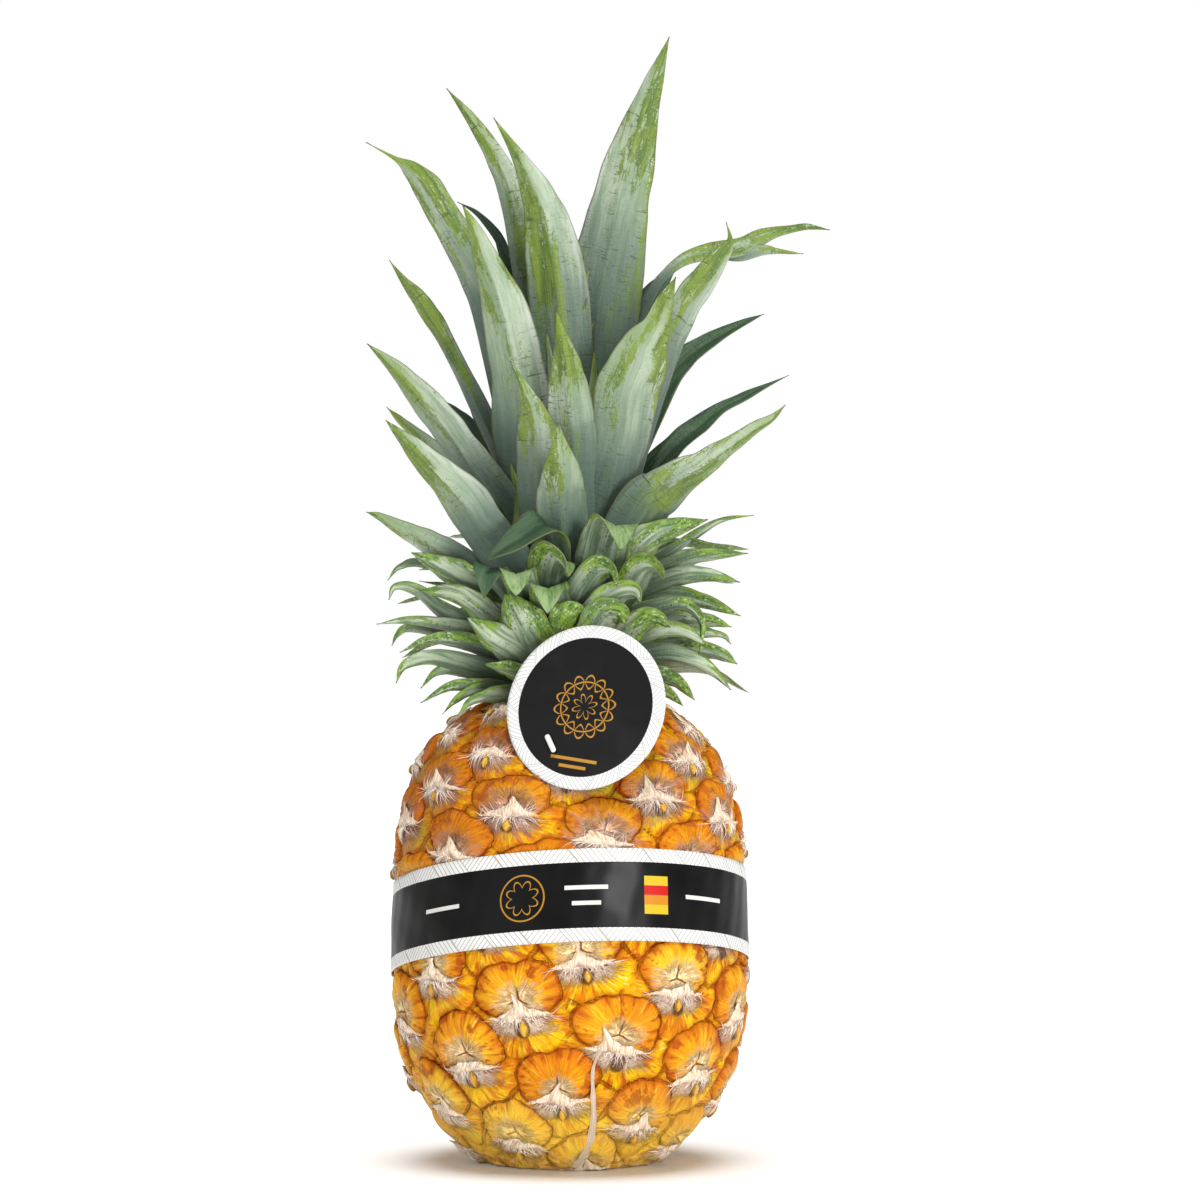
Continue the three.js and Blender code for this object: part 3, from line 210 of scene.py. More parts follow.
# The narrow leaves at the two sides.
SIDE_LEAVES = [
    ([(-18, -2, 198), (-49, -3, 207.6), (-59, -3, 206.8), (-63.5, -3, 202.2)], 5, -40),
    ([(-18, 2, 192), (-38, 1, 199), (-52.7, 0, 202)], 6, -60),
    ([(-18, -8, 180), (-42, -10, 190), (-53, -10, 198.2), (-60.5, -9, 199.8), (-62.8, -9, 195.4)], 8, -40),
    ([(-18, -2, 184), (-40, -4, 188), (-49.9, -4, 194.3)], 6, -50),
    ([(-18, -8, 180), (-36, -12, 185), (-55, -12, 188), (-67, -10, 187)], 8, -40),
    ([(-18, -2, 177), (-46, -4, 184), (-56, -4, 185.3), (-60, -4, 183), (-62, -4, 179.4)], 6, -50),
    ([(-17, -14, 174), (-36, -17, 180.5), (-48, -17, 181.7), (-58.7, -16, 177.2)], 9, -34),
    ([(-17, -12, 167), (-36, -17, 172.5), (-48, -17, 175), (-57, -16, 172.5), (-60, -15, 166.7)], 10, -34),
    ([(-18, -10, 168), (-38, -14, 171), (-46, -14, 170.2), (-51.6, -13, 164.8)], 7, -40),
    ([(-17, -13, 161), (-30, -18, 164.5), (-41, -18, 165.3), (-51.5, -17, 159.8)], 9, -34),
    ([(-17, -12, 163), (-31, -20, 164), (-38.5, -22, 161), (-43.8, -23, 156)], 7, -34),
    ([(-14, -17, 162), (-24, -25, 162.5), (-33, -28, 160.5), (-38.5, -29, 155.5)], 9, -26),
    ([(16, 0, 200), (31, 2, 209), (42, 3, 216.5), (53, 3, 223), (64.3, 3, 225)], 8, 60),
    ([(15, -18, 184), (28, -24, 191.5), (39, -25, 193.5), (45.4, -24, 187.5), (44.5, -23, 176.8)], 9, 30),
    ([(17, -6, 180), (38, -8, 183), (52, -8, 183.2), (56, -8, 180)], 6, 45),
    ([(15, -17, 171), (31, -22, 175.3), (42, -22, 174), (50, -20, 170), (55.7, -19, 164.3)], 12, 34),
]

# A blade's share of its width at the root, where along it is widest, how its tip is drawn out, and
# how deep its cup is, as a share of its width.
SHORT_BLADE = {"root": 0.72, "widest": 0.4, "taper": 2, "cup": 0.17}
SIDE_BLADE = {"root": 0.95, "widest": 0.12, "taper": 1.15, "cup": 0.2}
SHEATH_BLADE = {"root": 0.9, "widest": 0.35, "taper": 1.6, "cup": 0.2}
LONG_CUP = 0.13
LONG_ROWS = 80
SHORT_ROWS = 48
SHEATH_ROWS = 30
# A blade's section: the power of its cup, the share of it that is a straight-sided keel, and how
# far its outer face looks down at the root.
CUP_POWER = 1.7
KEEL_SHARE = 0.45
OUTER_FACE_DIP = -0.25

# The upright leaves that hug the stem: their count, the heights of the first and last root, and
# how far each one rises above its root and stands off the stem at four places along it.
SHEATH_COUNT = 44
SHEATH_HEIGHTS = (168, 262)
SHEATH_RISES = (0, 20, 40, 58)
SHEATH_STANDS = (0.4, 1.5, 3.0, 6.5)

# The short leaves round the back, as the frame has them.
BACK_LEAF_COUNT = 24
BACK_LEAF_HEIGHTS = (166, 203)
BACK_LEAF_SPREAD = 84
BACK_LEAF_ROOT_RADIUS = 17
BACK_LEAF_REACH = 44
BACK_LEAF_FURTHER_REACH = 10
BACK_LEAF_TIP_REACH = 10
BACK_LEAF_BENDS = (0.62, 0.92)
BACK_LEAF_WIDTH = 10
BACK_LEAF_LIFTS = (4, 15)
BACK_LEAF_DROOP = 7
BACK_LEAF_SEED = 11

# The long dry fibre down the front of the fruit: azimuth and height along it.
FIBRE_POINTS = [(10.5, 45.5), (8.2, 38), (8.6, 29), (9.3, 21), (9.2, 13.5), (7.2, 7), (3.4, 2.6)]

# The dry scales round the neck.
SCALE_COUNT = 26
SCALE_ROOT_HEIGHT = 159.5
SCALE_RADIUS = 20.5
SCALE_HALF_WIDTH = 4.6
SCALE_LENGTH = 9
SCALE_FURTHER_LENGTH = 4

# The camera, in metres, and its lens and sensor in mm.
CAMERA_AT = (0.0105, -1.6, 0.1954)
CAMERA_LENS = 137.5
CAMERA_SENSOR = 36


# ---- Materials ------------------------------------------------------------------------------

def operation(name):
    """A method that makes a field out of another and, if need be, more values."""
    def method(self, *others):
        return self.paint.maths(name, self, *others)
    return method


class Field:
    """A value in a material, so that patterns are written as sums and products of fields."""

    __add__ = __radd__ = operation("ADD")
    __sub__ = operation("SUBTRACT")
    __mul__ = __rmul__ = operation("MULTIPLY")
    __truediv__ = operation("DIVIDE")
    __pow__ = operation("POWER")
    abs = operation("ABSOLUTE")
    sin = operation("SINE")
    fraction = operation("FRACT")
    floor = operation("FLOOR")
    at_least = operation("MAXIMUM")

    def __init__(self, paint, socket):
        self.paint = paint
        self.socket = socket

    def __rsub__(self, other):
        return self.paint.maths("SUBTRACT", other, self)

    def ramp(self, low, high):
        """0 below low and 1 above high, with a smooth step between, or the reverse if low > high."""
        if low > high:
            return 1.0 - self.ramp(high, low)
        return self.paint.node(
            "ShaderNodeMapRange",
            {"Value": self, "From Min": low, "From Max": high},
            interpolation_type="SMOOTHSTEP",
        )


class Paint:
    """One procedural material, built on its Principled shader."""

    def __init__(self, name):
        self.material = bpy.data.materials.new(name)
        self.material.use_nodes = True
        self.tree = self.material.node_tree
        self.shader = self.tree.nodes["Principled BSDF"]

    def node(self, kind, inputs, output=0, **settings):
        """Any other node: its inputs by name or number, and one of its outputs as a field."""
        node = self.tree.nodes.new(kind)
        for key, value in settings.items():
            setattr(node, key, value)
        for key, value in inputs.items():
            self.feed(node.inputs[key], value)
        return Field(self, node.outputs[output])

    def feed(self, socket, value):
        if isinstance(value, Field):
            self.tree.links.new(value.socket, socket)
        elif socket.type == "RGBA" and len(value) == 3:
            socket.default_value = (*value, 1.0)
        else:
            socket.default_value = value

    def maths(self, operation, *values):
        return self.node("ShaderNodeMath", dict(enumerate(values)), operation=operation)

    def split(self, vector):
        parts = self.tree.nodes.new("ShaderNodeSeparateXYZ")
        self.feed(parts.inputs[0], vector)
        return [Field(self, output) for output in parts.outputs]

    def join(self, x, y, z):
        return self.node("ShaderNodeCombineXYZ", {0: x, 1: y, 2: z})

    def attribute(self, name):
        return self.node("ShaderNodeAttribute", {}, "Vector", attribute_name=name)

    def place(self):
        return self.node("ShaderNodeTexCoord", {}, "Object")

    def noise(self, vector, scale, detail=3.0, roughness=0.55, distortion=0.0):
        inputs = {
            "Vector": vector,
            "Scale": scale,
            "Detail": detail,
            "Roughness": roughness,
            "Distortion": distortion,
        }
        return self.node("ShaderNodeTexNoise", inputs)

    def mix(self, share, first, second):
        return self.node("ShaderNodeMix", {0: share, 6: first, 7: second}, 2, data_type="RGBA")

    def blend(self, share, first, second):
        """A value that goes from first to second."""
        return first + share * (second - first)

    def over(self, colour, *layers):
        """The colour under layers: each a share, 0 to 1, and the colour that it goes to."""
        for share, layer in layers:
            colour = self.mix(share, colour, layer)
        return colour

    def bump(self, height, distance, strength):
        inputs = {"Height": height, "Distance": distance, "Strength": strength}
        return self.node("ShaderNodeBump", inputs)

    def finish(self, **inputs):
        for name, value in inputs.items():
            self.feed(self.shader.inputs[name.replace("_", " ")], value)
        return self.material


def ellipse(x, y, half_width, half_height):
    """How far out a point is from the middle of an ellipse: 1 on its edge."""
    return ((x / half_width) ** 2.0 + (y / half_height) ** 2.0) ** 0.5


def ray(x, y, lean, width, length):
    """1 on a short straight line that leaves (0, 0) at an angle from straight up, in degrees."""
    a = math.radians(lean)
    across = (x * math.cos(a) - y * math.sin(a)).abs()
    along = x * math.sin(a) + y * math.cos(a)
    return across.ramp(width, width * 0.3) * along.ramp(-0.3, 0.1) * along.ramp(length, length * 0.5)


class RindPaint(Paint):
    """The rind's material, with the fields that its layers share.

    The eye attribute holds the place in a fruitlet in mm and a number for the fruitlet. The skin
    attribute holds how high the skin stands, how far out of the nearest dome it is, 1 on the rim,
    and the height on the fruit, 0 to 1. The seam attribute holds how near the next fold is, and how
    deep the nearest flute of a dome is, 0 to 1.
    """

    def __init__(self):
        super().__init__("rind")
        self.spot = self.place()
        self.x, self.y, self.seed = self.split(self.attribute("eye"))
        self.rise, reach, self.level = self.split(self.attribute("skin"))
        self.seam, self.flute, _ = self.split(self.attribute("seam"))
        self.blur = self.noise(self.spot, 300, 4, 0.6) - 0.5
        self.patches = self.noise(self.spot, 48, 3)
        self.uneven = self.patches - 0.5
        self.folds = self.noise(self.spot, 150, 4, 0.6, 0.4)
        self.mottle = self.noise(self.spot, 620, 4, 0.7)
        self.specks = self.noise(self.spot, 1300, 3)
        self.upper = self.level.ramp(0.52, 0.78)
        self.rim = reach + self.blur * 0.10
        self.below = self.rim.ramp(0.985, 1.02)
        self.odd = (self.seed * 7.3).fraction()
        self.ridges = self.spokes(PIT_HEIGHT, 17, 0.06, 2.5, 0.6)
        self.fine_ridges = self.spokes(PIT_HEIGHT, 52, 0.16, 2.5, 0.65)
        self.pleats = self.spokes(PLEAT_HEIGHT, 15, 0.10, 2.5, 0.6)
        self.fibres = self.spokes(PLEAT_HEIGHT, 60, 0.12, 3.5, 0.65)
        self.hairs = self.spokes(HAIR_HEIGHT, 74, 0.30, 4.0, 0.72)
        middle = ellipse(self.x, self.y - PIT_HEIGHT, 9.4, 6.6) / (0.80 + self.odd * 0.45)
        middle = middle + (self.fine_ridges - 0.5) + (self.ridges - 0.5) * 0.8
        self.middle = middle + self.blur * 0.7
        self.pale = self.middle.ramp(1.05, 0.45) * (1.0 - self.upper * 0.60)
        fan = ellipse(self.x, self.y + 5.6 + self.x.abs() * 0.18, 13.0, 5.4)
        self.hair_share = (fan + (self.hairs - 0.5) * 2.6 + self.blur * 0.8).ramp(1.05, 0.50)
        # Painted shade: darker along the sunken seams where two fruitlets' folds meet, in patches.
        joint = (self.seam + self.blur * 2.4 + (self.folds - 0.5) * 2.0).ramp(1.3, 0.1)
        self.joint = joint * self.patches.ramp(0.34, 0.54)

    def spokes(self, height, number, drift, detail, roughness):
        """Noise drawn out into about as many streaks as number says, that leave a point at a
        height on the fruitlet's middle line like spokes.
        """
        x, y = self.x, self.y - height
        far = (x * x + y * y) ** 0.5 + 0.001
        scale = number / math.pi
        spot = self.join(x / far * scale, y / far * scale, self.seed * 37.0 + far * drift)
        return self.noise(spot, 1.0, detail, roughness)

    def dome(self):
        """Amber to yellow in fine ridges, burnt orange towards a crimped rim, redder higher up, with painted
        shade deep in the flutes and painted glints on the raised ridges.
        """
        ridges, fine_ridges, rim, upper = self.ridges, self.fine_ridges, self.rim, self.upper
        hue = (self.seed * 3.1).fraction()
        tone = ridges * 0.5 + fine_ridges * 0.5
        bright = tone + self.uneven * 0.45 + (self.odd - 0.5) * 0.20
        outside = (rim + (fine_ridges - 0.5) * 0.40).ramp(0.58, 1.0)
        # Painted shade: darker brown deep in the flutes of the relief, towards the rim.
        flute_shade = self.flute.ramp(0.12, 0.80) * (rim + (ridges - 0.5) * 0.5).ramp(0.45, 0.85)
        # Painted highlight: pale glints on the raised ridges, kept out of the flutes.
        painted_glint = fine_ridges.ramp(0.60, 0.72) * ridges.ramp(0.48, 0.60) * (1.0 - flute_shade)
        stains = self.noise(self.spot, 130, 3, 0.6)
        blush = (self.patches * 0.4 + stains * 0.6).ramp(0.50, 0.60) * upper
        return self.over(
            (0.74, 0.23, 0.006),
            (bright.ramp(0.36, 0.52), (0.86, 0.37, 0.008)),
            (bright.ramp(0.49, 0.67), (0.94, 0.58, 0.025)),
            (fine_ridges.ramp(0.60, 0.74) * 0.5, (0.97, 0.70, 0.08)),
            (outside * (0.35 + hue * 0.50), (0.50, 0.105, 0.004)),
            (flute_shade * 0.8, (0.42, 0.065, 0.003)),
            (painted_glint * 0.6, (1.0, 0.84, 0.24)),
            (stains.ramp(0.57, 0.65) * 0.75, (0.36, 0.050, 0.005)),
            (upper * (0.55 + self.uneven * 0.9), (0.62, 0.170, 0.003)),
            (blush * 0.65, (0.36, 0.085, 0.020)),
        )

    def cream(self):
        """The mottled cream of a dome's middle, browner in its hollow and more orange at its foot."""
        hollow = self.middle.ramp(0.40, 0.10) * self.mottle.ramp(0.52, 0.40)
        return self.over(
            (0.92, 0.48, 0.12),
            (self.mottle.ramp(0.34, 0.56), (1.0, 0.79, 0.46)),
            (hollow * 0.5, (0.52, 0.20, 0.10)),
            (self.y.ramp(0.4, -2.2) * 0.6, (1.0, 0.66, 0.36)),
        )

    def slits(self):
        """1 in the three cracks that meet in a dome's middle."""
        x = self.x + self.blur * 1.6
        y = self.y - PIT_HEIGHT + (self.folds - 0.5) * 1.2
        first, second, third = (ray(x, y, *slit) for slit in PIT_SLITS)
        return first.at_least(second).at_least(third)

    def skirt(self):
        """Yellow folds gathered under the bract, with a painted sheen and painted highlights on the raised
        pleats and painted shade in the hollows, under a dome's rim and along the seams.
        """
        pleats, fibres, rim = self.pleats, self.fibres, self.rim
        # Brighter yellow where the pleats stand up: partly the folds' own tone, partly a painted sheen.
        sheen = self.folds * 0.45 + pleats * 0.55
        green = self.noise(self.spot, 24, 2).ramp(0.50, 0.62) * self.level.ramp(0.5, 0.85)
        # Painted shade just below a dome's rim, in patches.
        shade = (rim + (pleats - 0.5) * 0.25).ramp(1.28, 1.02) * self.folds.ramp(0.34, 0.58)
        # Painted highlight on the raised pleats and fibres.
        lit = fibres.ramp(0.58, 0.68) * pleats.ramp(0.50, 0.60) * rim.ramp(1.05, 1.2)
        return self.over(
            (0.74, 0.22, 0.002),
            (sheen.ramp(0.40, 0.58), (0.92, 0.54, 0.004)),
            (fibres.ramp(0.56, 0.70) * 0.55, (0.97, 0.74, 0.10)),
            # Painted shade in the hollows between the pleats and between the fibres.
            (pleats.ramp(0.44, 0.34) * 0.75, (0.50, 0.11, 0.006)),
            (fibres.ramp(0.42, 0.34) * 0.6, (0.38, 0.075, 0.006)),
            (green * 0.75, (0.30, 0.31, 0.02)),
            (shade * 0.8, (0.48, 0.090, 0.004)),
            (self.joint * 0.75, (0.36, 0.065, 0.005)),
            (lit * 0.7, (1.0, 0.88, 0.34)),
        )

    def hairy(self, colour):
        """The colour under the dry patch below the bract: tan to white fibres that fade out.

        Higher up the fruit they spread into a mauve star over the dome. Below lies a painted shadow round
        the bud's seat.
        """
        hairs = self.hairs
        hair = self.over(
            (0.72, 0.38, 0.23),
            (hairs.ramp(0.32, 0.52), (0.97, 0.80, 0.64)),
            (self.specks.ramp(0.44, 0.36) * 0.6, (0.30, 0.100, 0.060)),
            (hairs.ramp(0.56, 0.66), (0.96, 0.90, 0.82)),
        )
        star = ellipse(self.x, self.y + 3.4, 13.0, 10.5) + (hairs - 0.5) * 2.2
        star = star + (self.pleats - 0.5) * 1.2 + self.blur * 0.8
        # Painted shadow: dark round the bud's seat below the bract.
        socket = ellipse(self.x - 0.6, self.y + 8.2, 3.0, 3.8).ramp(1.1, 0.75)
        return self.over(
            colour,
            (self.hair_share * 0.92, hair),
            (star.ramp(1.15, 0.70) * self.upper * 0.75, (0.47, 0.22, 0.17)),
            (star.ramp(1.0, 0.45) * self.upper * hairs.ramp(0.44, 0.58) * 0.9, hair),
            (socket * 0.8, (0.13, 0.035, 0.012)),
        )

    def creased(self, colour):
        """The colour under painted red-brown shade along each dome's rim and in the low creases, stronger
        higher up, broken here and there.
        """
        broken = (self.patches * 0.5 + self.folds * 0.5).ramp(0.45, 0.57)
        # Painted shade: a dark red-brown line where a dome's rim drops into its crease.
        border = (self.rim + (self.ridges - 0.5) * 0.12 - 0.985).abs().ramp(0.115, 0.010)
        border = border * self.y.ramp(-6.5, -4.0) * broken
        # Painted shade in the creases, where the skin sinks lowest.
        crease = (self.rise + self.blur * 1.2).ramp(-0.1, -1.1) * (0.45 + broken * 0.55)
        return self.over(
            colour,
            (border * 0.8, (0.36, 0.055, 0.003)),
            (crease * (0.45 + self.upper * 0.25), (0.38, 0.065, 0.003)),
        )

    def dry_base_and_painted_light(self, colour):
        """The colour under painted red-brown shade on the upper left shoulder and painted yellow light from
        below low down, and dry and brown below.
        """
        across, depth, height = self.split(self.spot)
        # Painted shade: darker and redder on the upper left shoulder.
        left_shoulder_shade = (across + self.uneven * 0.03).ramp(0.006, -0.045)
        left_shoulder_shade = left_shoulder_shade * self.upper * (1.0 - self.hair_share * 0.5)
        wood = self.noise(self.spot, 500, 4)
        low = (height + self.uneven * 0.006).ramp(0.0075, 0.0020)
        # Painted light: yellower towards the bottom, as if lit from the floor below.
        painted_bounce_light = height.ramp(0.034, 0.010) * (0.25 + self.folds * 0.6)
        return self.over(
            colour,
            (left_shoulder_shade * 0.42, (0.46, 0.105, 0.008)),
            (painted_bounce_light * 0.9, (1.0, 0.70, 0.10)),
            (low * wood.ramp(0.45, 0.62) * 0.7, (0.42, 0.19, 0.06)),
            (low * wood.ramp(0.46, 0.36) * 0.7, (0.86, 0.62, 0.36)),
            (height.ramp(0.0012, 0.0003), self.cut(wood, (across * across + depth * depth) ** 0.5)),
        )

    def cut(self, wood, radius):
        """The flat base: brown wood, with the stalk's pale round end in a dark ring."""
        edge = (STUB_RADIUS + 0.5) * MM
        return self.over(
            (0.30, 0.17, 0.07),
            (wood.ramp(0.35, 0.65), (0.55, 0.38, 0.18)),
            (
                radius.ramp(edge, (STUB_RADIUS - 0.5) * MM),
                self.mix(wood.ramp(0.4, 0.6), (0.62, 0.47, 0.27), (0.78, 0.66, 0.45)),
            ),
            ((radius - edge).abs().ramp(0.0011, 0.0003), (0.10, 0.05, 0.02)),
        )

    def relief(self, slits, dry):
        """Ridges on the domes, pleats below them, hairs that stand up and slits that sink in."""
        domes = (self.ridges * 0.7 + self.fine_ridges * 0.75) * self.rim.ramp(1.0, 0.93)
        height = domes * self.middle.ramp(0.30, 0.9)
        height = height + (self.fibres * 0.7 + self.pleats * 1.5) * self.below
        height = height + self.hairs * self.hair_share * 0.8 - slits * 1.3
        height = height + self.mottle * self.pale * 0.25 + self.specks * dry * 0.2
        return height + self.folds * 0.5 - self.joint * self.below * 0.9


def rind_material():
    """The rind: golden ridged domes with pale middles, yellow folds and painted shade in the creases
    between.
    """
    rind = RindPaint()
    slits = rind.slits()
    colour = rind.over(
        rind.dome(),
        (rind.pale * 0.9, rind.cream()),
        (slits * 0.8, (0.13, 0.035, 0.015)),
        (rind.below, rind.skirt()),
    )
    dry = rind.hair_share.at_least(rind.pale * 0.6)
    return rind.finish(
        Base_Color=rind.dry_base_and_painted_light(rind.creased(rind.hairy(colour))),
        Roughness=rind.blend(dry, 0.30 + rind.folds * 0.16, 0.80 + rind.folds * 0.05),
        Normal=rind.bump(rind.relief(slits, dry), 0.0015, 1.0),
        Specular_IOR_Level=0.08,
    )


def bract_material():
    """Dry papery bracts: cream at the ridge and tip, yellow at the wings, mauve at the root.

    The leaf attribute holds the place across, -1 to 1, and along, 0 to 1, and a number each.
    """
    paint = Paint("bract")
    across, along, seed = paint.split(paint.attribute("leaf"))
    blotch = paint.noise(paint.place(), 330, 4, 0.6)
    grain = paint.noise(paint.join(across * 24.0, along * 1.6, seed * 19.0), 1.0, 4, 0.65)
    root = (along + (blotch - 0.5) * 0.5).ramp(0.45, 0.10)
    wing = (across.abs() + (blotch - 0.5) * 0.4 + (seed - 0.5) * 0.3).ramp(0.74, 1.0)
    colour = paint.over(
        (0.74, 0.50, 0.30),
        (grain.ramp(0.38, 0.62), (0.95, 0.86, 0.70)),
        (root * 0.75, (0.46, 0.25, 0.20)),
        (wing * 0.9, paint.mix(grain.ramp(0.40, 0.64), (0.74, 0.27, 0.01), (0.96, 0.70, 0.16))),
        (grain.ramp(0.42, 0.32) * 0.6, (0.30, 0.13, 0.08)),
    )
    normal = paint.bump(grain + blotch * 0.6, 0.0008, 0.9)
    return paint.finish(Base_Color=colour, Roughness=0.62 + grain * 0.25, Normal=normal)


def strand_material():
    """Fine dry hairs, from pinkish tan to cream, more golden towards their tips.

    The strand attribute holds the place along, 0 to 1, and the hair's own tone, 0 to 1.
    """
    paint = Paint("bract_hair")
    along, tone, _ = paint.split(paint.attribute("strand"))
    colour = paint.over(
        (0.74, 0.50, 0.40),
        (tone.ramp(0.02, 0.60), (0.97, 0.88, 0.76)),
        (along.ramp(0.60, 1.0) * 0.45, (0.84, 0.56, 0.28)),
    )
    return paint.finish(Base_Color=colour, Roughness=0.7 + tone * 0.1)


def bud_material():
    """Small glossy golden-olive buds, with painted shade towards their sides and ends."""
    paint = Paint("bud")
    across, along, seed = paint.split(paint.attribute("leaf"))
    # Painted shade: darker towards the bud's sides and ends, where it meets the skin.
    side = (across.abs() + along * 0.4).ramp(0.30, 1.05)
    streaks = paint.noise(paint.place(), 700, 3)
    colour = paint.over(
        (0.62, 0.27, 0.008),
        (seed, (0.70, 0.45, 0.035)),
        (side * 0.85, (0.17, 0.070, 0.006)),
        (streaks.ramp(0.55, 0.7) * 0.5, (0.35, 0.13, 0.01)),
    )
    return paint.finish(Base_Color=colour, Roughness=0.2 + streaks * 0.15)


class LeafPaint(Paint):
    """A crown leaf's material, with the fields that its layers share.

    The leaf attribute holds the place across, -1 to 1, along, 0 to 1, and 1 on the inner face.
    The span attribute holds the same place in mm and a number for each leaf.
    """

    def __init__(self, name):
        super().__init__(name)
        self.across, self.along, self.inner = self.split(self.attribute("leaf"))
        self.span_x, self.span_y, self.seed = self.split(self.attribute("span"))
        self.shift = self.seed * 61.0
        self.veins = self.drawn_out(2.8, 0.02, 0.0, 3, 0.6)
        self.broad = self.drawn_out(0.13, 0.020, 3.0, 2, 0.5)
        self.streaks = self.drawn_out(0.34, 0.040, 7.0, 4, 0.62, 0.3)
        self.torn = self.drawn_out(0.55, 0.16, 9.0, 5, 0.75, 0.6)
        self.flakes = self.drawn_out(1.3, 0.42, 27.0, 3, 0.7, 0.8)
        self.smears = self.drawn_out(0.50, 0.050, 21.0, 4, 0.62, 0.4)
        self.scratches = self.drawn_out(0.16, 0.75, 13.0, 5, 0.70, 1.6)
        self.specks = self.drawn_out(1.9, 0.9, 17.0, 3, 0.65)

    def drawn_out(self, scale_x, scale_y, number, detail, roughness, distortion=0.0):
        """Noise that is stretched along or across the blade, different on every leaf."""
        spot = self.join(self.span_x * scale_x, self.span_y * scale_y, self.shift + number)
        return self.noise(spot, 1.0, detail, roughness, distortion)

    def long_face(self):
        """The outer face of a long leaf: grey-green wax that thins to yellow-green in torn streaks
        towards the tip, painted shade on one half of its fold and at its foot, and its share of bare green.
        """
        along, veins, broad, streaks = self.along, self.veins, self.broad, self.streaks
        torn, flakes, smears = self.torn, self.flakes, self.smears
        side = self.across * self.blend(self.seed.ramp(0.49, 0.51), -1.0, 1.0)
        # Painted shade: one half of the folded blade darker than the other.
        half = side.ramp(-0.06, 0.06)
        silver = side.ramp(-0.62, -0.86) * smears.ramp(0.40, 0.54)
        # Painted shade: darker towards the root, where the leaves crowd together.
        foot = (along + (streaks - 0.5) * 0.2).ramp(0.48, 0.06)
        thin = (along + (broad - 0.5) * 1.3 + (streaks - 0.5) * 0.5 + half * 0.10).ramp(0.34, 0.92)
        bare = self.over(
            (0.060, 0.120, 0.006),
            (streaks.ramp(0.38, 0.62), (0.165, 0.250, 0.018)),
            (veins.ramp(0.50, 0.66) * 0.30, (0.27, 0.36, 0.070)),
        )
        lane = (side - 0.30).abs().ramp(0.60, 0.05)
        worn = broad * 0.40 + streaks * 0.24 + torn * 0.24 + flakes * 0.12
        limit = 0.555 - along.ramp(0.15, 0.70) * 0.060 - lane * 0.040
        limit = limit - along.ramp(0.80, 1.0) * 0.05
        rubbed = (worn - limit).ramp(-0.004, 0.010) * along.ramp(0.06, 0.25)
        chalk = (smears * 0.25 + torn * 0.45 + flakes * 0.30).ramp(0.555, 0.580) * along.ramp(0.2, 0.5)
        marks = self.scratches.ramp(0.415, 0.378) * broad.ramp(0.38, 0.48)
        return self.over(
            (0.265, 0.350, 0.240),
            (smears.ramp(0.36, 0.64), (0.41, 0.49, 0.36)),
            (veins.ramp(0.42, 0.62) * 0.25, (0.44, 0.51, 0.38)),
            (half * 0.30, (0.13, 0.21, 0.11)),
            (torn.ramp(0.40, 0.62) * 0.30, (0.19, 0.28, 0.150)),
            (silver * 0.55, (0.56, 0.60, 0.53)),
            (foot * 0.9, (0.052, 0.098, 0.078)),
            (thin * 0.85, (0.20, 0.285, 0.075)),
            (rubbed * 0.9, bare),
            (chalk * broad.ramp(0.40, 0.56) * 0.6, (0.52, 0.59, 0.46)),
            (side.abs().ramp(0.030, 0.008) * 0.35, (0.15, 0.23, 0.08)),
            (marks * 0.85, (0.060, 0.090, 0.025)),
        ), rubbed

    def short_face(self):
        """The outer face of a short leaf: smooth blue-green wax with painted shade at its foot, vivid
        green edges and tip and some rows of dark dashes, and its share of bare green.
        """
        along, broad, streaks, torn = self.along, self.broad, self.streaks, self.torn
        # Painted shade: darker towards the root, where the leaves crowd together.
        foot = (along + (streaks - 0.5) * 0.3).ramp(0.66, 0.14)
        bare = self.mix(torn.ramp(0.40, 0.60), (0.045, 0.135, 0.004), (0.20, 0.33, 0.018))
        reach = self.across.abs() * 0.36 + along * 0.58 + (torn - 0.5) * 0.7
        rubbed = (reach + (streaks - 0.5) * 0.9 + (broad - 0.5) * 1.2).ramp(0.49, 0.55)
        row = self.span_x * 1.05
        dash = self.noise(self.join(row.floor() * 3.7, self.span_y * 0.8, self.shift), 1.0, 2)
        between = (row.fraction() - 0.5).abs().ramp(0.36, 0.16)
        where = (broad + (streaks - 0.5) * 0.5).ramp(0.45, 0.54) * along.ramp(0.2, 0.45)
        return self.over(
            (0.125, 0.205, 0.100),
            (self.smears.ramp(0.40, 0.58), (0.45, 0.53, 0.37)),
            (self.veins.ramp(0.42, 0.64) * 0.3, (0.42, 0.50, 0.37)),
            (foot * 0.9, (0.034, 0.070, 0.034)),
            (rubbed * 0.9, bare),
            (dash.ramp(0.54, 0.60) * between * where * 0.85, (0.035, 0.065, 0.018)),
            (dash.ramp(0.44, 0.38) * between * where * rubbed * 0.7, (0.50, 0.60, 0.40)),
        ), rubbed

    def inner_face(self, short):
        """The inner face: dark green, and on about three short leaves in five a light green."""
        dark = self.over(
            (0.020, 0.050, 0.026),
            (self.streaks.ramp(0.35, 0.65), (0.052, 0.105, 0.046)),
            (self.veins.ramp(0.45, 0.7) * 0.4, (0.085, 0.16, 0.080)),
        )
        if not short:
            return dark
        light = self.mix(self.torn.ramp(0.35, 0.60), (0.10, 0.20, 0.045), (0.26, 0.36, 0.16))
        return self.mix(self.seed.ramp(0.62, 0.56), dark, light)


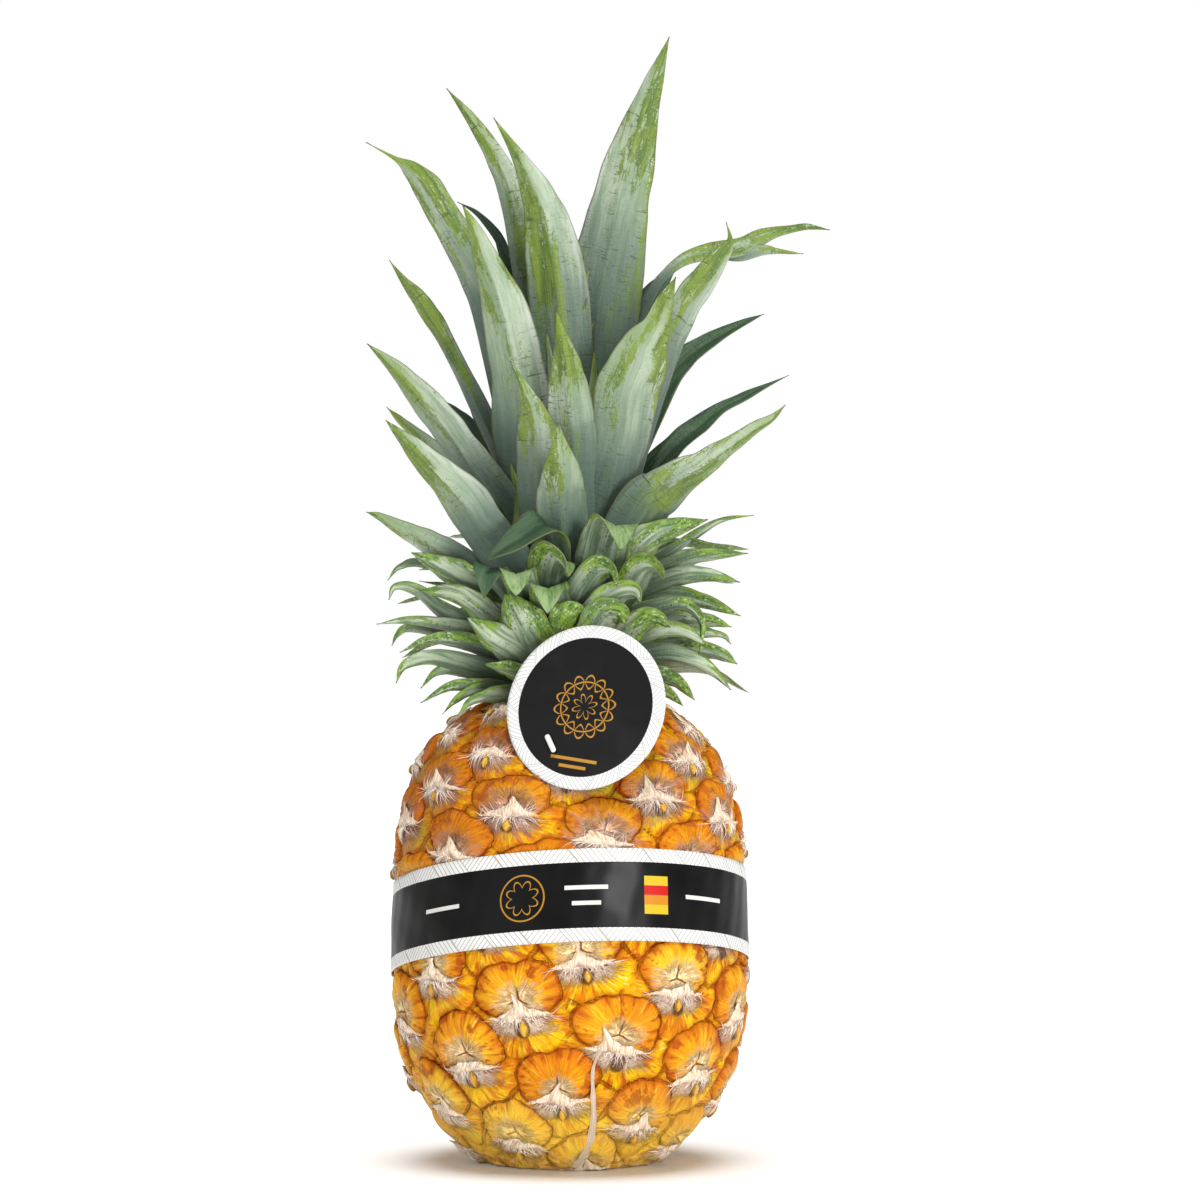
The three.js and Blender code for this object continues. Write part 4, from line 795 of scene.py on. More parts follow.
def leaf_material(name, short):
    """A crown leaf: a green outer face under grey waxy bloom, fine veins, crosswise dark
    scratches, dark margins and a dry tip, and a green inner face, dark on most.
    """
    leaf = LeafPaint(name)
    outer, rubbed = leaf.short_face() if short else leaf.long_face()
    colour = leaf.over(
        outer,
        (leaf.inner, leaf.inner_face(short)),
        (leaf.specks.ramp(0.70, 0.76) * (1.0 - leaf.inner) * 0.6, (0.030, 0.045, 0.016)),
        (leaf.across.abs().ramp(0.94, 0.99) * 0.6, (0.15, 0.15, 0.05)),
        ((leaf.along + (leaf.torn - 0.5) * 0.05).ramp(0.965, 0.992), (0.085, 0.050, 0.025)),
    )
    height = leaf.veins * 0.3 + leaf.scratches * 0.7 + leaf.torn * 0.35
    return leaf.finish(
        Base_Color=colour,
        Roughness=leaf.blend(rubbed, 0.46 + leaf.veins * 0.14, 0.34 + leaf.torn * 0.12),
        Normal=leaf.bump(height + leaf.flakes * 0.3 + leaf.specks * 0.2, 0.0007, 0.7),
        Specular_IOR_Level=0.4,
    )


def stem_material():
    """The crown's stem and the dry scales at its foot: reddish brown, paler and green higher up."""
    paint = Paint("crown_stem")
    place = paint.place()
    _, _, z = paint.split(place)
    grain = paint.noise(place, 420, 4)
    low = paint.mix(grain.ramp(0.35, 0.65), (0.24, 0.07, 0.035), (0.50, 0.22, 0.13))
    high = paint.mix(grain.ramp(0.35, 0.65), (0.05, 0.09, 0.05), (0.13, 0.20, 0.12))
    colour = paint.mix(z.ramp(0.170, 0.182), low, high)
    normal = paint.bump(grain, 0.001, 0.8)
    return paint.finish(Base_Color=colour, Roughness=0.6 + grain * 0.2, Normal=normal)


def hatch(run, across, pitch):
    """Thin pale lines in slanted panels that lean one way and then the other."""
    panel = ((run + across * 0.9) / (pitch * 7.0)).floor()
    odd = (panel * 0.5).fraction() * 4.0 - 1.0
    lines = ((run + across * odd * 0.8) / pitch).fraction()
    edge = ((run + across * 0.9) / (pitch * 7.0)).fraction()
    drawn = (lines - 0.5).abs().ramp(0.11, 0.06)
    return drawn.at_least((edge - 0.5).abs().ramp(0.482, 0.490))


def rosette(paint, run, across):
    """1 on the outline of eight petals inside a circle."""
    far = ellipse(run, across, 1.0, 1.0)
    petals = (paint.maths("ARCTAN2", across, run) * 4.0).sin().abs() * 2.2 + 3.6
    outline = (far - petals).abs().ramp(0.34, 0.2)
    return outline.at_least((far - 7.6).abs().ramp(0.34, 0.2))


def bar(x, y, half_width, half_height, soft):
    """1 inside a rectangle round (0, 0), with a soft edge."""
    inside_x = x.abs().ramp(half_width, half_width - soft)
    return inside_x * y.abs().ramp(half_height, half_height - 0.1)


def band_material():
    """Glossy black film with white borders, fine hatching and plain gold, red and white shapes.

    The film attribute holds the place round the fruit and across the film, in mm.
    """
    paint = Paint("label_band")
    run, across, _ = paint.split(paint.attribute("film"))
    place = paint.place()
    smudge = paint.noise(place, 30, 3)
    gold, red = (0.62, 0.42, 0.02), (0.50, 0.012, 0.010)
    stripes = ((across + 6.4) / 3.2).floor()
    block_colour = paint.over(gold, (stripes.ramp(0.9, 1.1), red), (stripes.ramp(2.4, 2.6), gold))
    colour = paint.over(
        (0.003, 0.003, 0.003),
        (smudge.ramp(0.45, 0.75), (0.008, 0.008, 0.007)),
        (rosette(paint, run + 16.0, across), (0.40, 0.19, 0.020)),
        (bar(run - 31.0, across, 4.6, 6.4, 0.1), block_colour),
    )
    for middle, half, level in ((6.0, 7.5, 2.6), (6.0, 5.0, -2.6), (52.0, 9.0, 0.0), (-48.0, 8.0, 0.0)):
        line = bar(run - middle, across - level, half, 0.75, 0.1)
        colour = paint.mix(line * 0.9, colour, (0.74, 0.72, 0.68))
    rim = paint.mix(hatch(run, across, 1.9) * 0.8, (0.74, 0.74, 0.72), (0.24, 0.21, 0.15))
    inner_edge = BAND_WIDTH / 2 - BAND_BORDER
    return paint.finish(
        Base_Color=paint.mix(across.abs().ramp(inner_edge, inner_edge + 0.12), colour, rim),
        Roughness=0.26 + smudge * 0.2,
        Normal=paint.bump(paint.noise(place, 70, 2), 0.0009, 0.35),
        Specular_IOR_Level=0.14,
    )


def wreath(far, turn):
    """1 on two wavy lines that cross to make a ring of leaves, their vein and a star inside."""
    waves = (turn * 7.0).sin().abs()
    from_vein = (far - 8.6).abs()
    leaves = (from_vein - waves * 2.3).abs().ramp(0.42, 0.20) * waves.ramp(0.1, 0.3)
    star = ((turn * 4.0).sin().abs() * 2.8 + 1.6 - far).abs().ramp(0.34, 0.2)
    return leaves.at_least(from_vein.ramp(0.30, 0.16)).at_least(star) * far.ramp(13.0, 12.5)


def tag_material():
    """Laminated card: a black disc inside a white hatched rim, with a plain gold leaf wreath.

    The card attribute holds the place right and up from the middle, in mm, and 1 on the back.
    """
    paint = Paint("round_tag")
    x, z, back = paint.split(paint.attribute("card"))
    smudge = paint.noise(paint.place(), 45, 3)
    far = (x * x + z * z) ** 0.5
    turn = paint.maths("ARCTAN2", z, x)
    gold = paint.mix(smudge, (0.38, 0.17, 0.018), (0.52, 0.27, 0.045))
    rim = paint.mix(hatch(turn * 26.2, far - 26.2, 1.6) * 0.7, (0.74, 0.74, 0.73), (0.30, 0.29, 0.27))
    colour = paint.over(
        (0.007, 0.007, 0.007),
        (smudge.ramp(0.45, 0.75), (0.014, 0.014, 0.014)),
        (wreath(far, turn), gold),
        (bar(x, z + 18.2, 8.5, 0.6, 0.2), gold),
        (bar(x, z + 20.8, 5.0, 0.6, 0.2), gold),
        (far.ramp(TAG_BLACK_RADIUS, TAG_BLACK_RADIUS + 0.15), rim),
        (back, (0.80, 0.79, 0.76)),
    )
    return paint.finish(
        Base_Color=colour,
        Roughness=0.32 + smudge * 0.2,
        Normal=paint.bump(smudge, 0.0008, 0.3),
        Specular_IOR_Level=0.2,
    )


def pin_material():
    """Milky plastic with fine scuffs."""
    paint = Paint("tag_pin")
    scuffs = paint.noise(paint.place(), 900, 3)
    colour = paint.mix(scuffs, (0.62, 0.63, 0.60), (0.86, 0.86, 0.82))
    normal = paint.bump(scuffs, 0.0002, 0.5)
    return paint.finish(Base_Color=colour, Roughness=0.28 + scuffs * 0.2, Normal=normal)


# ---- Meshes ---------------------------------------------------------------------------------

def turned_outwards(points, faces):
    """The faces, all reversed if they enclose a negative volume."""
    volume = 0.0
    for size in (3, 4):
        some = np.array([face for face in faces if len(face) == size])
        for k in range(1, size - 1):
            if len(some):
                a, b, c = points[some[:, 0]], points[some[:, k]], points[some[:, k + 1]]
                volume += np.einsum("ij,ij->", a, np.cross(b, c))
    return faces if volume > 0 else [face[::-1] for face in faces]


def add_piece(name, points, faces, material, node, attributes):
    """A closed piece given in mm, its faces turned outwards.

    The attributes are name to (domain, one row of three numbers each).
    """
    mesh = bpy.data.meshes.new(name)
    mesh.from_pydata((points * MM).tolist(), [], turned_outwards(points, faces))
    mesh.polygons.foreach_set("use_smooth", [True] * len(mesh.polygons))
    for key, (domain, values) in attributes.items():
        layer = mesh.attributes.new(key, "FLOAT_VECTOR", domain)
        layer.data.foreach_set("vector", np.asarray(values, np.float32).ravel())
    mesh.materials.append(material)
    piece = bpy.data.objects.new(name, mesh)
    bpy.context.scene.collection.objects.link(piece)
    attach(piece, "root")
    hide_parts(node)
    return piece


def grid_faces(rows, columns, start=0, closed=False):
    """The quads of a grid of points, row after row. closed joins the last column to the first."""
    quads = []
    last = columns if closed else columns - 1
    for i in range(rows - 1):
        row = start + i * columns
        for j in range(last):
            k = (j + 1) % columns
            quads.append((row + j, row + k, row + columns + k, row + columns + j))
    return quads


def tube_faces(rows, columns):
    """The quads of a grid that closes on itself, and a flat cap on its first and its last row."""
    faces = grid_faces(rows, columns, closed=True)
    faces.append(tuple(range(columns))[::-1])
    faces.append(tuple(range((rows - 1) * columns, rows * columns)))
    return faces


def twin_rings(front, back):
    """The points and quads of two grids that close on themselves, back to back."""
    rows, columns, _ = front.shape
    faces = grid_faces(rows, columns, closed=True)
    faces += [face[::-1] for face in grid_faces(rows, columns, rows * columns, closed=True)]
    return np.vstack([front.reshape(-1, 3), back.reshape(-1, 3)]), faces


def joined_edge(row, columns, size):
    """The quads between a row that starts at one point and its twin, size points further on."""
    quads = []
    for j in range(columns):
        k = (j + 1) % columns
        quads.append((row + j, row + k, row + k + size, row + j + size))
    return quads


def thin_sheet(front, back):
    """A closed sheet between two grids of the same size, with strips along its four edges."""
    rows, columns, _ = front.shape
    size = rows * columns
    faces = grid_faces(rows, columns)
    faces += [face[::-1] for face in grid_faces(rows, columns, size)]
    rim = list(range(columns))
    rim += [i * columns + columns - 1 for i in range(1, rows)]
    rim += [(rows - 1) * columns + j for j in range(columns - 2, -1, -1)]
    rim += [i * columns for i in range(rows - 2, 0, -1)]
    for a, b in zip(rim, rim[1:] + rim[:1]):
        faces.append((b, a, a + size, b + size))
    return np.vstack([front.reshape(-1, 3), back.reshape(-1, 3)]), faces


def marked(*values):
    """One row of three numbers for each point, from three arrays that broadcast together."""
    return np.stack(np.broadcast_arrays(*values), axis=-1).reshape(-1, 3)


def spline(points, share):
    """Places and tangents at shares 0 to 1 of a uniform Catmull-Rom curve through the points."""
    p = np.asarray(points, float)
    p = np.vstack([2 * p[0] - p[1], p, 2 * p[-1] - p[-2]])
    place = np.clip(share, 0, 1) * (len(p) - 3)
    i = np.minimum(place.astype(int), len(p) - 4)
    w = (place - i)[:, None]
    start, end = p[i + 1], p[i + 2]
    leave, arrive = (end - p[i]) / 2, (p[i + 3] - start) / 2
    at = (2 * w**3 - 3 * w**2 + 1) * start + (w**3 - 2 * w**2 + w) * leave
    at += (3 * w**2 - 2 * w**3) * end + (w**3 - w**2) * arrive
    tangent = 6 * (w**2 - w) * (start - end) + (3 * w**2 - 4 * w + 1) * leave
    tangent += (3 * w**2 - 2 * w) * arrive
    return at, tangent


def unit(vectors):
    return vectors / np.linalg.norm(vectors, axis=-1, keepdims=True)


def outward(azimuth, lift=0.0):
    """The level way out at an azimuth, in degrees from the front, and a lift above level."""
    a = math.radians(azimuth)
    return np.array([math.sin(a), -math.cos(a), lift])


def around(radius, angle, height):
    """Points at a radius and height round the upright axis, at an angle in radians."""
    return np.stack([radius * np.sin(angle), -radius * np.cos(angle), height], axis=-1)


def turned(angle, first, second):
    """A turn in degrees from one axis, 0, 1 or 2, towards another, as a matrix."""
    a = math.radians(angle)
    matrix = np.eye(3)
    matrix[first, first] = matrix[second, second] = math.cos(a)
    matrix[second, first] = math.sin(a)
    matrix[first, second] = -math.sin(a)
    return matrix


# ---- The fruit ------------------------------------------------------------------------------

def tag_turn():
    """The tag's turn, as a matrix: rolled about its face, then tilted, then turned to a side."""
    return turned(TAG_YAW, 0, 1) @ turned(TAG_TILT, 1, 2) @ turned(TAG_ROLL, 2, 0)


def tag_to_world(x, y, z):
    """From the tag's own right, depth and up, in mm, to the fruit's frame."""
    return np.stack([x, y, z], axis=-1) @ tag_turn().T + np.array(TAG_CENTRE)


def tag_to_local(points):
    """From the fruit's frame to the tag's own right, depth and up, in mm."""
    return (points - np.array(TAG_CENTRE)) @ tag_turn()


def tag_bend(x, z):
    """How far back the card bows from flat, towards its sides and below a soft fold."""
    return 0.0011 * x**2 + 0.04 * np.maximum(-4 - z, 0) ** 1.1


class Profile:
    """The fruit's mean surface, sampled along its outline from the base to the neck."""

    def __init__(self):
        at, _ = spline(FRUIT_PROFILE, np.linspace(0, 1, 601))
        self.r = np.maximum(at[:, 0], 0.05)
        self.z = at[:, 1]
        step = np.hypot(np.diff(self.r), np.diff(self.z))
        middle = (self.r[1:] + self.r[:-1]) / 2
        area = np.interp(self.z[1:], EYE_HEIGHTS, EYE_AREAS)
        self.s = np.concatenate([[0], np.cumsum(step)])
        self.count = np.concatenate([[0], np.cumsum(2 * np.pi * middle * step / area)])
        self.out = np.gradient(self.z, self.s)
        self.up = -np.gradient(self.r, self.s)

    def point(self, azimuth, s, rise):
        """Points that stand off the mean surface, at azimuths in degrees and lengths up it."""
        radius = np.interp(s, self.s, self.r) + np.interp(s, self.s, self.out) * rise
        height = np.interp(s, self.s, self.z) + np.interp(s, self.s, self.up) * rise
        return around(np.maximum(radius, 0), np.radians(azimuth), height)

    def s_at(self, height):
        """The lengths up the outline at heights above the base."""
        rising = self.s > 20
        return np.interp(height, self.z[rising], self.s[rising])


profile = Profile()


def band_height(azimuth):
    """The height of the band's middle line: the band sits a little askew."""
    middle = (BAND_LEFT + BAND_RIGHT) / 2
    a = np.radians(azimuth)
    right = (BAND_RIGHT - BAND_LEFT) / 2
    return middle + (BAND_FRONT - middle) * np.cos(a) + right * np.sin(a)


class Eyes:
    """The fruitlets, one after another up the fruit, each turned by the golden angle."""

    def __init__(self):
        key = np.interp(profile.s_at(KEY_HEIGHT), profile.s, profile.count)
        k = np.arange(-int(key), int(profile.count[-1] - key) + 1)
        s = np.interp(key + k, profile.count, profile.s)
        kept = np.interp(s, profile.s, profile.r) >= EYE_RADIUS_MIN
        self.s = s[kept]
        self.azimuth = (KEY_AZIMUTH + k[kept] * GOLDEN_ANGLE) % 360
        self.r = np.interp(self.s, profile.s, profile.r)
        self.z = np.interp(self.s, profile.s, profile.z)
        area = np.interp(self.z, EYE_HEIGHTS, EYE_AREAS)
        rise = area / (2 * np.pi * self.r)
        self.high = np.clip(rise / KEY_RISE, 0.7, 1.0)
        self.wide = area / KEY_AREA / self.high
        draw = np.random.default_rng(7)
        count = len(self.s)
        self.seed = draw.random(count)
        self.swell = draw.uniform(0.8, 1.2, count)
        self.turn = np.radians(draw.uniform(-10, 10, count))
        self.lobes = draw.integers(14, 22, count)
        self.phase = draw.uniform(0, 2 * np.pi, (len(RIM_WAVES) + 3, count))
        self.banded = np.abs(self.z - band_height(self.azimuth)) < BAND_WIDTH / 2 + 2

    def offsets(self, azimuth, s, which=None):
        """How far right and up of fruitlets the points lie, in mm of a full-size fruitlet."""
        pick = slice(None) if which is None else which
        r = np.interp(s, profile.s, profile.r)
        if which is None:
            azimuth, s, r = azimuth[..., None], s[..., None], r[..., None]
        turn = (azimuth - self.azimuth[pick] + 180) % 360 - 180
        right = r * np.radians(turn) / self.wide[pick]
        up = (s - self.s[pick]) / self.high[pick]
        cos, sin = np.cos(self.turn[pick]), np.sin(self.turn[pick])
        return right * cos + up * sin, up * cos - right * sin

    def place(self, i, x, y):
        """Azimuths and lengths up the outline of points given from fruitlet i, as offsets are."""
        cos, sin = math.cos(self.turn[i]), math.sin(self.turn[i])
        s = self.s[i] + (y * cos + x * sin) * self.high[i]
        right = (x * cos - y * sin) * self.wide[i]
        return self.azimuth[i] + np.degrees(right / np.interp(s, profile.s, profile.r)), s

    def reach(self, x, y):
        """How far out of every dome the points are: 1 on its wavy rim."""
        up = y - DOME_CENTRE
        angle = np.arctan2(x, up)
        wave = 1.0
        for (count, size), phase in zip(RIM_WAVES, self.phase):
            wave = wave + size * np.cos(count * angle + phase)
        return np.hypot(x / DOME_HALF_WIDTH, up / DOME_HALF_HEIGHT) / wave

    def flute(self, x, y):
        """How deep in the flutes of every dome the points are: 1 along the middle of a flute."""
        turn = np.arctan2(x, y - PIT_HEIGHT)
        wander = turn + 0.22 * np.sin(2 * turn + self.phase[-3]) + 0.13 * np.sin(3 * turn + self.phase[-2])
        return (1 - np.abs(np.sin(wander * self.lobes / 2 + self.phase[-1]))) ** 2


eyes = Eyes()


def skirt_reach(x, y):
    """How far out of the fold round every bract the points are."""
    return np.hypot(x / 13.5, (y + 6.0) / 8.5)


def nearest_eye(azimuth, s):
    """The fruitlet that each point belongs to: its dome, or else the nearest bract's."""
    x, y = eyes.offsets(azimuth, s)
    reach = eyes.reach(x, y)
    return np.argmin(np.where(reach < 1, reach - 1, skirt_reach(x, y)), axis=-1)


def seam_distance(azimuth, s):
    """About how far each point is from the wavy line where two fruitlets' folds meet, in mm."""
    bend = 7 * np.sin(azimuth * 0.31 + s * 0.11) + 5 * np.sin(azimuth * 0.12 - s * 0.23)
    x, y = eyes.offsets(azimuth + 0.16 * bend, s + 0.18 * bend)
    nearest = np.sort(skirt_reach(x, y), axis=-1)
    return (nearest[..., 1] - nearest[..., 0]) * 6


def rim_reach(azimuth, s):
    """How far out of the nearest dome each point is, and how deep in one of its flutes."""
    x, y = eyes.offsets(azimuth, s)
    reach = eyes.reach(x, y)
    nearest = np.argmin(reach, axis=-1)[..., None]
    flute = np.take_along_axis(eyes.flute(x, y), nearest, axis=-1)
    return np.take_along_axis(reach, nearest, axis=-1)[..., 0], flute[..., 0]


def skin_rise(azimuth, s):
    """How far the rind stands off the mean surface.

    A dome is a root of 1 - reach^5, fluted towards its rim and hollow in its middle. Bract mounds
    are half ellipsoids. Folds lie between them, and a crease runs round each dome.
    """
    x, y = eyes.offsets(azimuth, s)
    reach = eyes.reach(x, y)
    dome = 2.3 * eyes.swell * np.sqrt(np.clip(1 - reach**5, 0, 1))
    dome -= 1.0 * eyes.flute(x, y) * np.clip((reach - 0.4) / 0.35, 0, 1)
    dome -= 1.1 * np.exp(-((x / 6.5) ** 2) - ((y - 1.4) / 4.6) ** 2) * eyes.swell
    dome -= 0.8 * np.exp(-((x / 1.5) ** 2) - ((y - PIT_HEIGHT) / 1.6) ** 2)
    above = np.clip((y + 6.0) / 2.5, 0, 1)
    dome = np.where(reach < 1, dome, -1) * above
    mound = 2.1 * np.sqrt(np.clip(1 - (x / 9.5) ** 2 - ((y + 7.6) / 4.8) ** 2, 0, 1))
    wing = 1.5 * np.exp(-(((np.abs(x) - 11.5) / 3.6) ** 2) - ((y + 4.2) / 2.6) ** 2)
    rise = np.maximum.reduce([dome, mound, wing]).max(axis=-1)
    fold = 0.15 + 0.75 * np.clip(seam_distance(azimuth, s) / 2.5, 0, 1)
    rise = np.maximum(rise, fold * (reach.min(axis=-1) > 1))
    edge = np.where(above > 0.3, np.abs(reach - 1.02), 1).min(axis=-1)
    rise -= 0.45 * np.exp(-((edge / 0.06) ** 2)) * np.clip(1.3 - 0.4 * rise, 0, 1)
    rise += 0.25 * np.sin(azimuth * 0.35 + s * 0.21) + 0.15 * np.sin(azimuth * 0.6 - s * 0.43)
    height = np.interp(s, profile.s, profile.z)
    gap = np.abs(height - band_height(azimuth)) - BAND_WIDTH / 2
    pressed = np.clip(1 - gap / 2.5, 0, 1)
    return rise * (1 - pressed) + np.minimum(rise, 0.9) * pressed


def under_band(azimuth, s, rise):
    """The rise, held down under the band and close by it."""
    gap = np.abs(np.interp(s, profile.s, profile.z) - band_height(azimuth)) - BAND_WIDTH / 2
    return np.minimum(rise, 1.2 + 3 * np.maximum(gap - 0.3, 0))


def clear_of_tag(points):
    """Which points, last axis x, y, z, are well behind the tag or beyond its rim."""
    x, y, z = np.moveaxis(tag_to_local(points), -1, 0)
    return (y > tag_bend(x, z) + 0.6) | (np.hypot(x, z) > TAG_RADIUS + 1)


def outline_steps():
    """Places along the outline for the rind's rows, sparser on the base and inside the neck."""
    base_end = profile.s_at(1.0)
    neck_start = profile.s_at(157.5)
    base = np.linspace(0, base_end, 22)[1:-1]
    side = np.linspace(base_end, neck_start, 186)
    neck = np.linspace(neck_start, profile.s[-1], 14)[1:-1]
    return np.concatenate([base, side, neck])


def add_rind(material):
    """The rind: a closed grid round the fruit whose points stand off by skin_rise."""
    columns = RIND_COLUMNS
    steps = outline_steps()
    rows = len(steps)
    azimuth, s = np.meshgrid(np.arange(columns) * 360 / columns, steps)
    rise = skin_rise(azimuth, s)
    settle = np.clip((profile.s[-1] - s) / 14, 0, 1) * np.clip((s - 16) / 12, 0, 1)
    rise *= settle
    points = profile.point(azimuth, s, rise)
    points[..., 2] = np.maximum(points[..., 2], 0)
    ends = np.array([[0, 0, 0], [0, 0, profile.z[-1]]])
    points = np.vstack([points.reshape(-1, 3), ends])
    faces = grid_faces(rows, columns, closed=True)
    first, last = rows * columns, rows * columns + 1
    for j in range(columns):
        k = (j + 1) % columns
        faces.append((first, k, j))
        faces.append((last, (rows - 1) * columns + j, (rows - 1) * columns + k))
    faces = turned_outwards(points, faces)
    mark_rind(points, faces, azimuth, s, rise, material)


def mark_rind(points, faces, azimuth, s, rise, material):
    """The rind's piece, with its marks: each face belongs to the fruitlet at its middle."""
    flat_azimuth = np.append(azimuth.ravel(), [0, 0])
    flat_s = np.append(s.ravel(), [0, profile.s[-1]])
    corners = np.concatenate([np.array(face) for face in faces])
    sizes = np.array([len(face) for face in faces])
    starts = np.concatenate([[0], np.cumsum(sizes)[:-1]])
    middle_s = np.add.reduceat(flat_s[corners], starts) / sizes
    a = np.radians(flat_azimuth[corners])
    middle_a = np.degrees(np.arctan2(np.add.reduceat(np.sin(a), starts), np.add.reduceat(np.cos(a), starts)))
    owner = np.repeat(nearest_eye(middle_a, middle_s), sizes)
    x, y = eyes.offsets(flat_azimuth[corners], flat_s[corners], owner)
    local = np.stack([x, y, eyes.seed[owner]], axis=-1)
    flat_rise = np.append(rise.ravel(), [0, 0])
    reach, flute = (np.append(values.ravel(), [2, 2]) for values in rim_reach(azimuth, s))
    flat_seam = np.append(seam_distance(azimuth, s).ravel(), [2, 2])
    level = np.clip(np.interp(flat_s, profile.s, profile.z) / 160, 0, 1)
    skin = np.stack([flat_rise, reach, level], axis=-1)[corners]
    seam = np.stack([flat_seam, flute, flat_seam * 0], axis=-1)[corners]
    add_piece("rind", points, faces, material, "fruit", {
        "eye": ("CORNER", local),
        "skin": ("CORNER", skin),
        "seam": ("CORNER", seam),
    })


class Sheaf:
    """Many small closed shapes that are gathered into one piece."""

    def __init__(self):
        self.points, self.faces, self.marks, self.size = [], [], [], 0

    def add(self, points, faces, marks=None):
        self.faces += [tuple(k + self.size for k in face) for face in turned_outwards(points, faces)]
        self.points.append(points)
        self.marks.append(marks)
        self.size += len(points)

    def piece(self, name, material, node, mark=None):
        marks = {mark: ("POINT", np.vstack(self.marks))} if mark else {}
        add_piece(name, np.vstack(self.points), self.faces, material, node, marks)


def add_bracts(material):
    """The dry bracts: each a ridge along the foot of a dome that runs out into thin wings.

    Across, the sheet follows x = w u, and its upper edge is a low arch with a spike in it,
    exp(-|u - tip| / width), so that the spike's sides are hollow. Up, it climbs from under the
    skin to a ridge, then leans over the dome, and its spike lifts off.
    """
    draw = np.random.default_rng(23)
    rows, columns = 11, 33
    v, u = np.meshgrid(np.linspace(0, 1, rows), np.linspace(-1, 1, columns), indexing="ij")
    sheaf = Sheaf()
    for i in range(len(eyes.s)):
        upper = np.clip((eyes.z[i] - 95) / 30, 0, 1)
        style = draw.random()
        spike = draw.uniform(4, 8) if style > 0.5 else draw.uniform(0.8, 2.2)
        spike += upper * draw.uniform(2, 5)
        width = draw.uniform(0.10, 0.20) + 0.10 * upper
        tip = draw.uniform(-0.25, 0.25)
        lean = draw.uniform(-5, 5)
        lift = draw.uniform(0.4, 1.6)
        phase = draw.uniform(0, 6.28, 4)
        if eyes.banded[i] or eyes.z[i] < 4:
            continue
        wide = draw.uniform(11.5, 13.5)
        point = np.exp(-np.abs(u - tip) / width)
        ragged = 0.35 * np.sin(8 * u + phase[0]) + 0.25 * np.sin(19 * u + phase[1])
        ragged += 0.15 * np.sin(37 * u + phase[2])
        root = -6.4 + 2.2 * u**2 + 0.3 * np.sin(6 * u + phase[3])
        edge = -2.9 + 0.8 * np.cos(np.pi * u) - 0.2 * u**2 + ragged * (1 - u**4) + spike * point
        x = wide * u + lean * point * v**1.5
        y = root + (edge - root) * v
        azimuth, s = eyes.place(i, x, y)
        crest = np.exp(-(((v - 0.5) / 0.28) ** 2)) * (1 - u**4) * 1.1
        cover = 0.25 + crest - 0.7 * (1 - v) ** 2 - 0.35 * np.abs(u) ** 3
        over = skin_rise(azimuth, s) * (1 - 0.5 * v * point) + (0.9 + lift * v) * v * point
        over = under_band(azimuth, s, over + cover)
        front = profile.point(azimuth, s, over)
        back = profile.point(azimuth, s, over - 0.4 - 0.6 * (1 - v))
        front[..., 2] = np.maximum(front[..., 2], 0.6)
        back[..., 2] = np.maximum(back[..., 2], 0.2)
        if not clear_of_tag(front).all():
            continue
        points, faces = thin_sheet(front, back)
        mark = marked(u, v, eyes.seed[i])
        sheaf.add(points, faces, np.vstack([mark, mark]))
    sheaf.piece("bracts", material, "fruit", "leaf")


def add_bract_hairs(material):
    """Fine hairs that fan down and out from under each bract, and up over the dome on upper ones.

    Each is a curved three-sided spike. It leaves the ridge at x, turned out by x and a draw.
    """
    draw = np.random.default_rng(31)
    sheaf = Sheaf()
    step = np.array([0, 0.35, 0.7, 1.0])
    for i in range(len(eyes.s)):
        if eyes.banded[i] or eyes.z[i] < 6:
            continue
        upper = np.clip((eyes.z[i] - 95) / 30, 0, 1)
        count = 66 + int(34 * upper)
        start = np.clip(draw.normal(0, 4.8, count), -11, 11)
        turn = start / 8 * 1.2 + draw.normal(0, 0.45, count)
        turn += np.where(draw.random(count) < 0.5 * upper, np.pi * 0.6 * np.sign(start), 0)
        length = draw.uniform(2.4, 6.2, count) * (1 + 0.45 * upper)
        bow = draw.normal(0, 0.7, count)
        lift = draw.uniform(0.15, 0.9, count)
        tone = draw.random(count)
        half = draw.uniform(0.10, 0.20, count)
        x = start[:, None] + length[:, None] * step * np.sin(turn)[:, None] + bow[:, None] * step**2
        y = -4.6 - length[:, None] * step * np.cos(turn)[:, None]
        azimuth, s = eyes.place(i, x, y)
        rise = skin_rise(azimuth, s) + 0.15 + lift[:, None] * np.sin(np.pi * (0.25 + 0.75 * step))
        centre = profile.point(azimuth, s, under_band(azimuth, s, rise))
        out = unit(profile.point(azimuth, s, rise + 1) - centre)
        side = unit(np.cross(np.gradient(centre, axis=1), out))
        taper = (half[:, None] * (1 - 0.85 * step))[..., None]
        rings = [centre + taper * (math.cos(a) * side + math.sin(a) * out) for a in (1.57, 3.67, 5.76)]
        kept = (clear_of_tag(centre) & (centre[..., 2] > 0.5)).all(axis=1)
        points = np.stack(rings, axis=2)[kept].reshape(-1, 3)
        faces = []
        for first in range(0, len(points), 12):
            faces += grid_faces(4, 3, first, closed=True)
            faces += [(first, first + 2, first + 1), (first + 9, first + 10, first + 11)]
        marks = marked(step[:, None], tone[kept, None, None], np.zeros((kept.sum(), 4, 3)))
        if len(points):
            sheaf.add(points, faces, marks)
    sheaf.piece("bract_hairs", material, "fruit", "strand")


